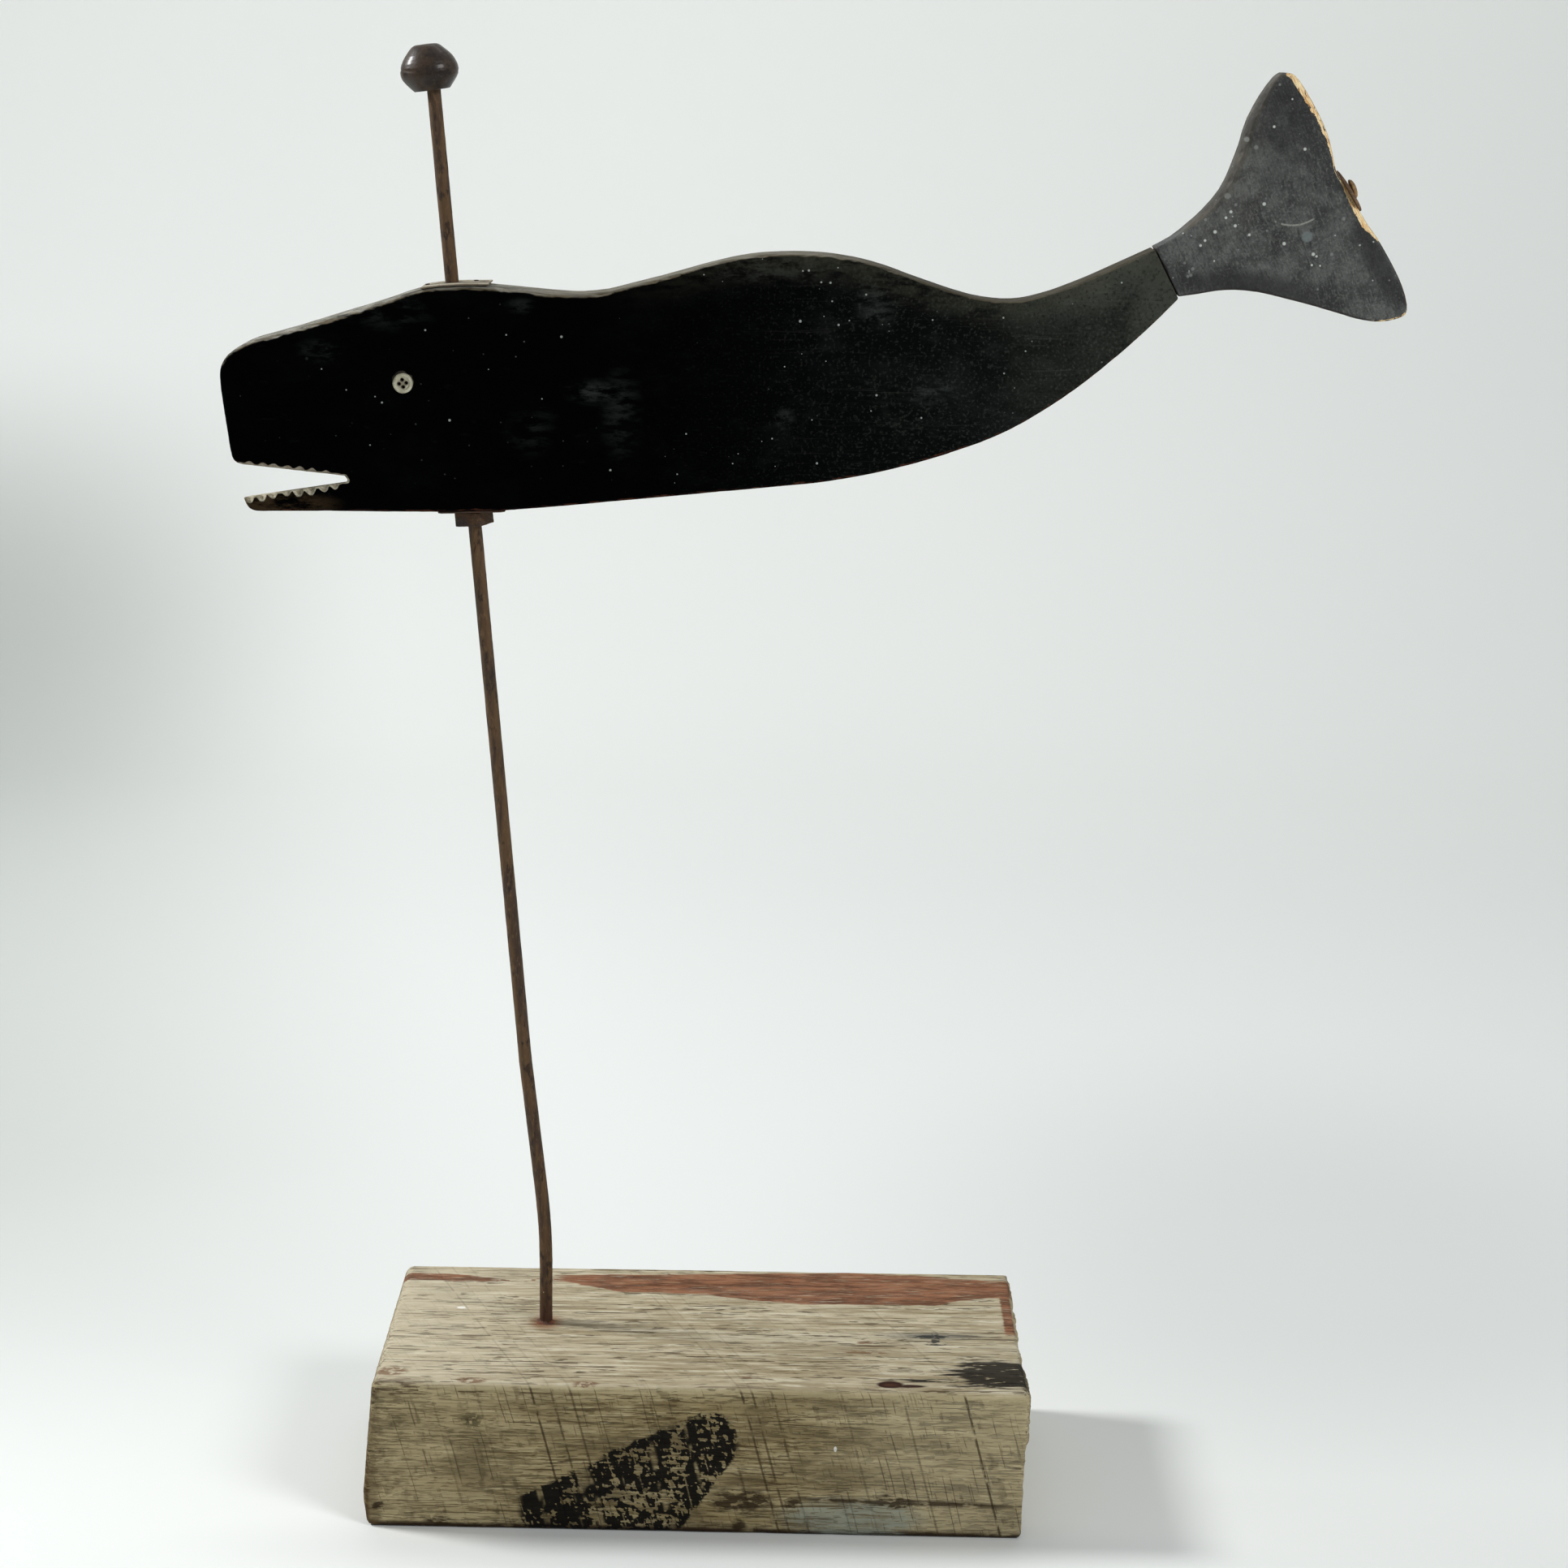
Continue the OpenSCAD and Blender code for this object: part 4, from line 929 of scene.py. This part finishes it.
def grey_black(m, fibre, dust):
    """Black paint gone grey, darker or paler in places."""
    cloud = m.noise(17, 123, 5, 0.65)
    m.colour = m.mix(m.fade(cloud, 0.36, 0.64), (50, 51, 50), (90, 92, 90))
    m.paint((114, 116, 112), m.fade(fibre, 0.52, 0.72, 0, 0.45))
    m.paint((34, 34, 34), m.fade(fibre, 0.46, 0.32, 0, 0.5))
    m.paint((124, 126, 120), m.fade(dust, 0.6, 0.76, 0, 0.4))
    grit = m.noise(1.1, 131, 1)
    m.paint((128, 130, 126), m.fade(grit, 0.56, 0.68, 0, 0.3))
    m.paint((30, 30, 30), m.fade(grit, 0.44, 0.32, 0, 0.35))

    # Darker along the foot, at the lower corner, high up and underneath; paler on the leading side
    low_edge = m.plus(m.z, m.times(m.fade(m.x, 40, 110), 12))
    foot = m.times(m.spot(m.x, low_edge, (42, -4), (44, 6.5), 0.6), m.fade(cloud, 0.2, 0.42))
    corner = m.spot(m.plus(m.x, m.times(m.z, 0.55)), m.z, (118, 8), (7, 22), 0.6)
    upper = m.times(m.spot(m.x, m.z, (60, 80), (15, 25), 0.8), m.fade(cloud, 0.7, 0.4, 0.5, 1))
    m.paint((30, 30, 30), m.either(foot, corner, upper), 0.75)
    m.paint((112, 110, 102), m.spot(m.x, m.z, (30, 66), (17, 44), 0.5), m.fade(dust, 0.4, 0.6), 0.35)
    m.paint((34, 26, 24), m.fade(m.nz, -0.15, -0.5), 0.75)

    # Dusty rounded leading edge, its colour kept dark as painted shade where the lamp on the left strikes it
    m.paint(
        m.mix(m.fade(cloud, 0.4, 0.6), (50, 47, 41), (82, 76, 66)), m.fade(m.nx, -0.12, -0.35),
        m.fade(m.z, 14, 26), m.fade(m.x, 4, 12), 0.8)


def fluke_marks(m):
    """A curved scratch, a grey spot and spots of white paint."""
    near = m.fade(m.ny, 0, -0.5)
    off_ring = m.size_of(m.less(m.length(m.less(m.x, 66), m.less(m.z, 48)), 21))
    scratch = m.times(
        m.fade(off_ring, 0.7, 0.2), m.fade(m.z, 32, 30), m.fade(m.x, 56, 58), m.fade(m.x, 79, 77))
    scratch = m.times(scratch, m.fade(m.noise(3, 125), 0.4, 0.5), near)
    m.paint((160, 162, 152), scratch, 0.75)
    m.paint((124, 134, 134), m.spot(m.x, m.z, (74.8, 21.1), (2.9, 2.9), 0.2), near, 0.6)
    spread = m.either(
        m.fade(m.noise(30, 126, 2), 0.4, 0.6, 0.1, 0.7), m.spot(m.x, m.z, (24, 24), (26, 26), 0.4),
        m.spot(m.x, m.z, (81, 8), (10, 7), 0.5))
    m.paint((150, 154, 150), m.drops(DULL_DROPS), near, 0.5)
    m.paint((208, 212, 206), m.drops(DROPS), near, 0.9)
    paint_specks(m, (196, 200, 196), spread)


def flaked_arris(m, grain_at, flat, face):
    """Raw wood where paint flaked off the trailing arris. Gives back where it shows."""
    reach = m.math("SQRT", m.less(1, m.times(flat, flat)))
    jagged = m.sway(0.7, (4, 4, 2.4), 127, 4, 0.7)
    width = m.curve(m.z, FLAKED)
    inner = m.fade(m.plus(reach, width, jagged), 0.98, 1.04)
    trailing = m.times(m.fade(m.nx, 0.02, 0.08), m.fade(width, 0.1, 0.2), inner, m.fade(reach, 0.97, 0.91))
    tip = m.times(
        m.spot(m.x, m.z, (124, -21), (11, 4), 0.4), m.fade(m.noise(3, 128, 4, 0.7), 0.46, 0.52),
        m.fade(m.nz, 0.3, 0), m.fade(flat, 0.99, 0.9))
    raw = m.either(trailing, tip)
    raw_tone = m.mix(
        m.fade(m.noise((7, 0.8, 0.8), 129, 4, 0.65, at=grain_at), 0.35, 0.62), (214, 160, 92),
        (255, 236, 190))
    raw_tone = m.mix(m.fade(m.noise((1.6, 3, 4), 130, 3), 0.6, 0.68, 0, 0.8), raw_tone, (126, 82, 42))
    m.paint((70, 50, 34), m.fade(m.nx, 0.5, 0.8), m.flip(face), 0.8)
    m.paint(raw_tone, raw)
    m.paint((52, 40, 28), m.fade(m.nx, -0.8, -0.88), m.spot(m.x, m.z, (0, 0), (14, 24), 0.2))
    return raw


def fluke_paint():
    m = Finish("black fluke paint", TAIL_JOINT)
    grain_at = fluke_grain(m)
    fibre = m.noise((5.5, 0.9, 0.9), 122, 3, 0.6, 0.3, at=grain_at)
    dust = m.noise(5, 124, 5, 0.7)
    flat = m.size_of(m.ny)
    grey_black(m, fibre, dust)
    fluke_marks(m)
    raw = flaked_arris(m, grain_at, flat, m.fade(flat, 0.75, 0.96))
    relief = m.bump(m.plus(m.times(fibre, 0.8), m.times(dust, 0.4)), 0.22)
    relief = m.bump(m.flip(raw), 0.3, relief)
    return m.done(m.either(m.times(raw, 0.8), m.fade(dust, 0.35, 0.7, 0.56, 0.78)), relief, 0.3)


def make_fluke():
    heights, shares = zip(*FLAKED)

    def depth(points, normals):
        flat = np.abs(normals[:, 1])
        x, _, z = (points - np.array(TAIL_JOINT)).T
        flaked = np.interp(z, heights, shares) * ease(normals[:, 0], 0.02, 0.2)
        arris = 4 * flat**2 * (1 - flat**2)
        torn = flaked * arris * (0.5 + 0.9 * np.maximum(rough_noise(points, (3, 3, 6), 222), -0.3))
        tip = ease(np.hypot((x - 124) / 11, (z + 21) / 5), 1.2, 0.6)
        chips = tip * arris * 0.8 * np.maximum(noise(points, 3, 223), 0)
        return board_wear(points, normals, 221, (3, 3, 14)) + torn + chips

    make_worn("tail_fluke", "fluke_board", 0.55, depth, "vane", fluke_paint())


def make_tail_fasteners():
    finish = rust("washer rust", (98, 74, 56), (140, 112, 88), (170, 138, 106), 2.4, 0.1)
    make_pitted("tail_washer", "rusty_washer", 0.25, (0.07, 3, 231), "vane", finish)
    finish = rust("bolt rust", (112, 84, 54), (160, 128, 84), (196, 164, 112), 2, 0.15)
    make_pitted("tail_bolt", "domed_bolt", 0.25, (0.06, 2.4, 241), "vane", finish)


# Bearing plates and their nails

def plate_chalk():
    """The same faded paint as the whale's top edge, over rust."""
    m = Finish("chalky plate", BELLY)
    cloud = m.noise((11, 7, 7), 141, 4, 0.6)
    fine = m.noise(1.6, 142, 4, 0.7)
    m.colour = m.mix(m.fade(cloud, 0.36, 0.64), (126, 116, 96), (170, 164, 146))
    m.paint((96, 68, 44), m.fade(fine, 0.56, 0.68, 0, 0.75))
    m.paint((58, 44, 34), m.spot(m.x, m.y, (-10.6, 0), (6.5, 6.5)), 0.7)
    m.paint((38, 27, 21), m.spots(m.x, m.y, [(-20, 0, 3.2, 2.8), (6.2, 5, 3.2, 2.8)]), 0.85)
    m.paint((84, 66, 48), m.fade(m.nz, 0.5, 0.2), 0.6)
    return m.done(m.fade(fine, 0.3, 0.7, 0.68, 0.85), m.bump(fine, 0.16), 0.3)


def make_plates():
    make_pitted("top_plate", "crown_plate", 0.28, (0.05, 5, 251), "vane", plate_chalk())
    finish = rust("belly plate rust", (40, 30, 24), (70, 50, 36), (104, 76, 50), 3, 0.06)
    make_pitted("bottom_plate", "belly_plate", 0.28, (0.06, 4, 261), "vane", finish)
    finish = rust("nail rust", (26, 19, 16), (46, 35, 28), (70, 54, 40), 1.2, 0.03)
    for node, name in (("top_plate_nails", "crown_nails"), ("bottom_plate_nails", "belly_nails")):
        make_pitted(node, name, 0.13, (0.03, 1.2, 271), "vane", finish)


# Button eyes

def button_plastic():
    m = Finish("old button", BELLY)
    u = m.less(m.x, -36.4)
    v = m.less(m.z, 70)
    from_centre = m.length(u, v)
    cloud = m.noise(3.4, 151, 4, 0.6)
    fine = m.noise(0.7, 152, 3, 0.6)
    m.colour = m.mix(m.fade(cloud, 0.36, 0.64), (166, 162, 138), (206, 203, 180))
    m.paint((112, 100, 78), m.fade(from_centre, 3.4, 1.6, 0, 0.75))
    m.paint(
        (120, 112, 90), m.fade(from_centre, 3, 3.5), m.fade(from_centre, 4.3, 3.8), m.fade(cloud, 0.4, 0.6),
        0.5)
    m.paint((96, 88, 70), m.fade(fine, 0.62, 0.74, 0, 0.5))
    # Painted shade: the right part of the rim darker
    m.paint((92, 86, 68), m.fade(u, 4.2, 5.3, 0, 0.55))
    holes = []
    for turn in (8, 98, 188, 278):
        place = (2 * math.cos(math.radians(turn)), 2 * math.sin(math.radians(turn)))
        holes.append(m.spot(u, v, place, (1.15, 1.15), 0.25))
    m.paint((40, 32, 24), m.either(*holes), 0.9)
    return m.done(m.fade(cloud, 0.3, 0.7, 0.42, 0.6), m.bump(fine, 0.05), 0.4)


def make_eyes():
    finish = button_plastic()
    for node, name in (("left_eye_button", "left_button"), ("right_eye_button", "right_button")):
        make_pitted(node, name, 0.11, (0.015, 2, 281), "vane", finish)


def glue_crust():
    m = Finish("old glue", BELLY)
    fine = m.noise(0.9, 161, 4, 0.7)
    m.colour = m.mix(m.fade(fine, 0.4, 0.62), (14, 13, 11), (54, 50, 38))
    return m.done(0.7, m.bump(fine, 0.2), 0.2)


# The glue's skin from inside outwards: distance from the button's middle and height off the wood
GLUE_PROFILE = [(4.6, 0.9), (5.5, 0.8), (6, 0.45), (6.4, 0.15), (6.8, -0.15), (5.5, -0.3)]


def make_glue():
    """A crust of old glue that shows past the upper rim of each button."""
    finish = glue_crust()
    sides, under_button = 72, 5
    for side, node, name in ((-1, "left_eye_button", "left_glue"), (1, "right_eye_button", "right_glue")):
        low, high = (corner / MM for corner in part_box(node))
        centre = (low + high) / 2
        wall = high.y if side < 0 else low.y
        rows = []
        for radius, out in GLUE_PROFILE:
            row = []
            for angle in turns(sides):
                at = np.array([[math.cos(angle), math.sin(angle), side]])
                upper = ease(math.sin(angle), -0.5, 0.8)
                push = (radius - under_button) * (0.2 + upper * (0.6 + 0.5 * noise(at, 0.45, 291)[0]))
                lift = out * (0.4 + 0.6 * upper) * (1 + 0.35 * noise(at, 0.3, 292)[0])
                r = min(radius, under_button) + max(push, 0)
                row.append(
                    (centre.x + r * math.cos(angle), wall + side * lift, centre.z + r * math.sin(angle)))
            rows.append(row)
        added(ring_piece(name, rows, True), "vane", finish)


# Stage: paper sweep, lamps and camera

# Colour of the room's light, its strength on the pieces, and as the camera and reflections see it
ROOM_COLOUR = (0.95, 0.98, 1, 1)
ROOM_LIGHT = 0.25
ROOM_SEEN = 0.7


# Pale paper, darkened in places with painted shade and painted shadow
def paper():
    m = Finish("pale paper")
    soft = m.noise(900, 171, 2)
    m.colour = m.mix(soft, (242, 244, 241), (236, 239, 237))
    # Painted shade: a little darker across the floor behind the block
    m.paint((230, 233, 231), m.fade(m.y, -100, 250), m.fade(m.y, 2100, 1200))
    leftward = m.plus(m.x, m.times(m.y, 0.2))
    # Painted shade and shadow: darker on the floor to the left, growing towards the back, and low on the
    # backdrop
    m.paint((192, 196, 193), m.fade(leftward, 120, -470), m.fade(m.y, -170, 500), m.fade(m.z, 420, 60), 0.95)
    # Painted shade: darker far to the left and back, near the bend
    m.paint((180, 184, 181), m.spot(m.x, m.y, (-1050, 2200), (380, 800), 0.8), m.fade(m.z, 420, 60), 0.6)
    # Painted shade: darker on the floor to the right of the block
    m.paint((204, 207, 205), m.spot(m.x, m.y, (520, 330), (260, 330), 0.7), m.fade(m.z, 300, 40), 0.5)
    # Painted shadow: a soft darker strip on the floor in front of the block
    m.paint((196, 199, 200), m.spot(m.x, m.y, (105, -112), (215, 36), 0.6), 0.4)
    return m.done(0.9, None, 0.1)


def make_sweep():
    """A floor that curves up into the backdrop."""
    near, bend, radius, height, half_width = -4000, 1700, 900, 3600, 5000
    profile = [(near, 0), (bend, 0)]
    for angle in np.radians(range(6, 91, 6)):
        profile.append((bend + radius * math.sin(angle), radius * (1 - math.cos(angle))))
    profile.append((bend + radius, height))
    points = [(x * MM, y * MM, z * MM) for y, z in profile for x in (-half_width, half_width)]
    faces = [(k, k + 1, k + 3, k + 2) for k in range(0, len(points) - 2, 2)]
    data = bpy.data.meshes.new("sweep")
    data.from_pydata(points, [], faces)
    data.shade_smooth()
    data.materials.append(paper())
    sweep = new_piece("sweep", data)


def lamp(name, place, target, size, watts):
    data = bpy.data.lights.new(name, "AREA")
    data.shape = "DISK"
    data.size = size * MM
    data.energy = watts
    made = bpy.data.objects.new(name, data)
    scene.collection.objects.link(made)
    place = Vector(place) * MM
    made.location = place
    made.rotation_euler = (Vector(target) * MM - place).to_track_quat("-Z", "Y").to_euler()


def make_light():
    world = bpy.data.worlds.new("room")
    scene.world = world
    world.use_nodes = True
    background = world.node_tree.nodes["Background"]
    background.inputs["Color"].default_value = ROOM_COLOUR
    nodes, links = world.node_tree.nodes, world.node_tree.links
    ray = nodes.new("ShaderNodeLightPath")
    seen = ray.outputs["Is Camera Ray"]
    for kind in ("Is Glossy Ray", "Is Transmission Ray"):
        either = nodes.new("ShaderNodeMath")
        either.operation = "MAXIMUM"
        links.new(seen, either.inputs[0])
        links.new(ray.outputs[kind], either.inputs[1])
        seen = either.outputs[0]
    strength = nodes.new("ShaderNodeMapRange")
    strength.inputs["To Min"].default_value = ROOM_LIGHT
    strength.inputs["To Max"].default_value = ROOM_SEEN
    links.new(seen, strength.inputs["Value"])
    links.new(strength.outputs[0], background.inputs["Strength"])
    lamp("left key", (-1905, 390, 1950), (60, 0, 150), 630, 55)
    lamp("right fill", (2060, -1610, 2180), (100, 0, 150), 1120, 37)
    lamp("backdrop lamp", (100, 1000, 2600), (100, 2600, 900), 1600, 12)


def make_camera():
    data = bpy.data.cameras.new("camera")
    data.sensor_width = SENSOR
    data.lens = FOCAL_PIXELS / IMAGE_SIDE * SENSOR
    data.clip_end = 30
    camera = bpy.data.objects.new("camera", data)
    scene.collection.objects.link(camera)
    place = Matrix.Translation(Vector(CAMERA_AT) * MM)
    pitch = Matrix.Rotation(math.radians(90 - CAMERA_PITCH), 4, "X")
    roll = Matrix.Rotation(math.radians(CAMERA_ROLL), 4, "Z")
    camera.matrix_world = place @ pitch @ roll
    scene.camera = camera


make_camera()
make_light()
make_sweep()
make_block()
make_rod()
make_rust_collar()
make_knob()
make_nut()
make_whale()
make_fluke()
make_tail_fasteners()
make_plates()
make_eyes()
make_glue()
scene.view_settings.view_transform = "Standard"
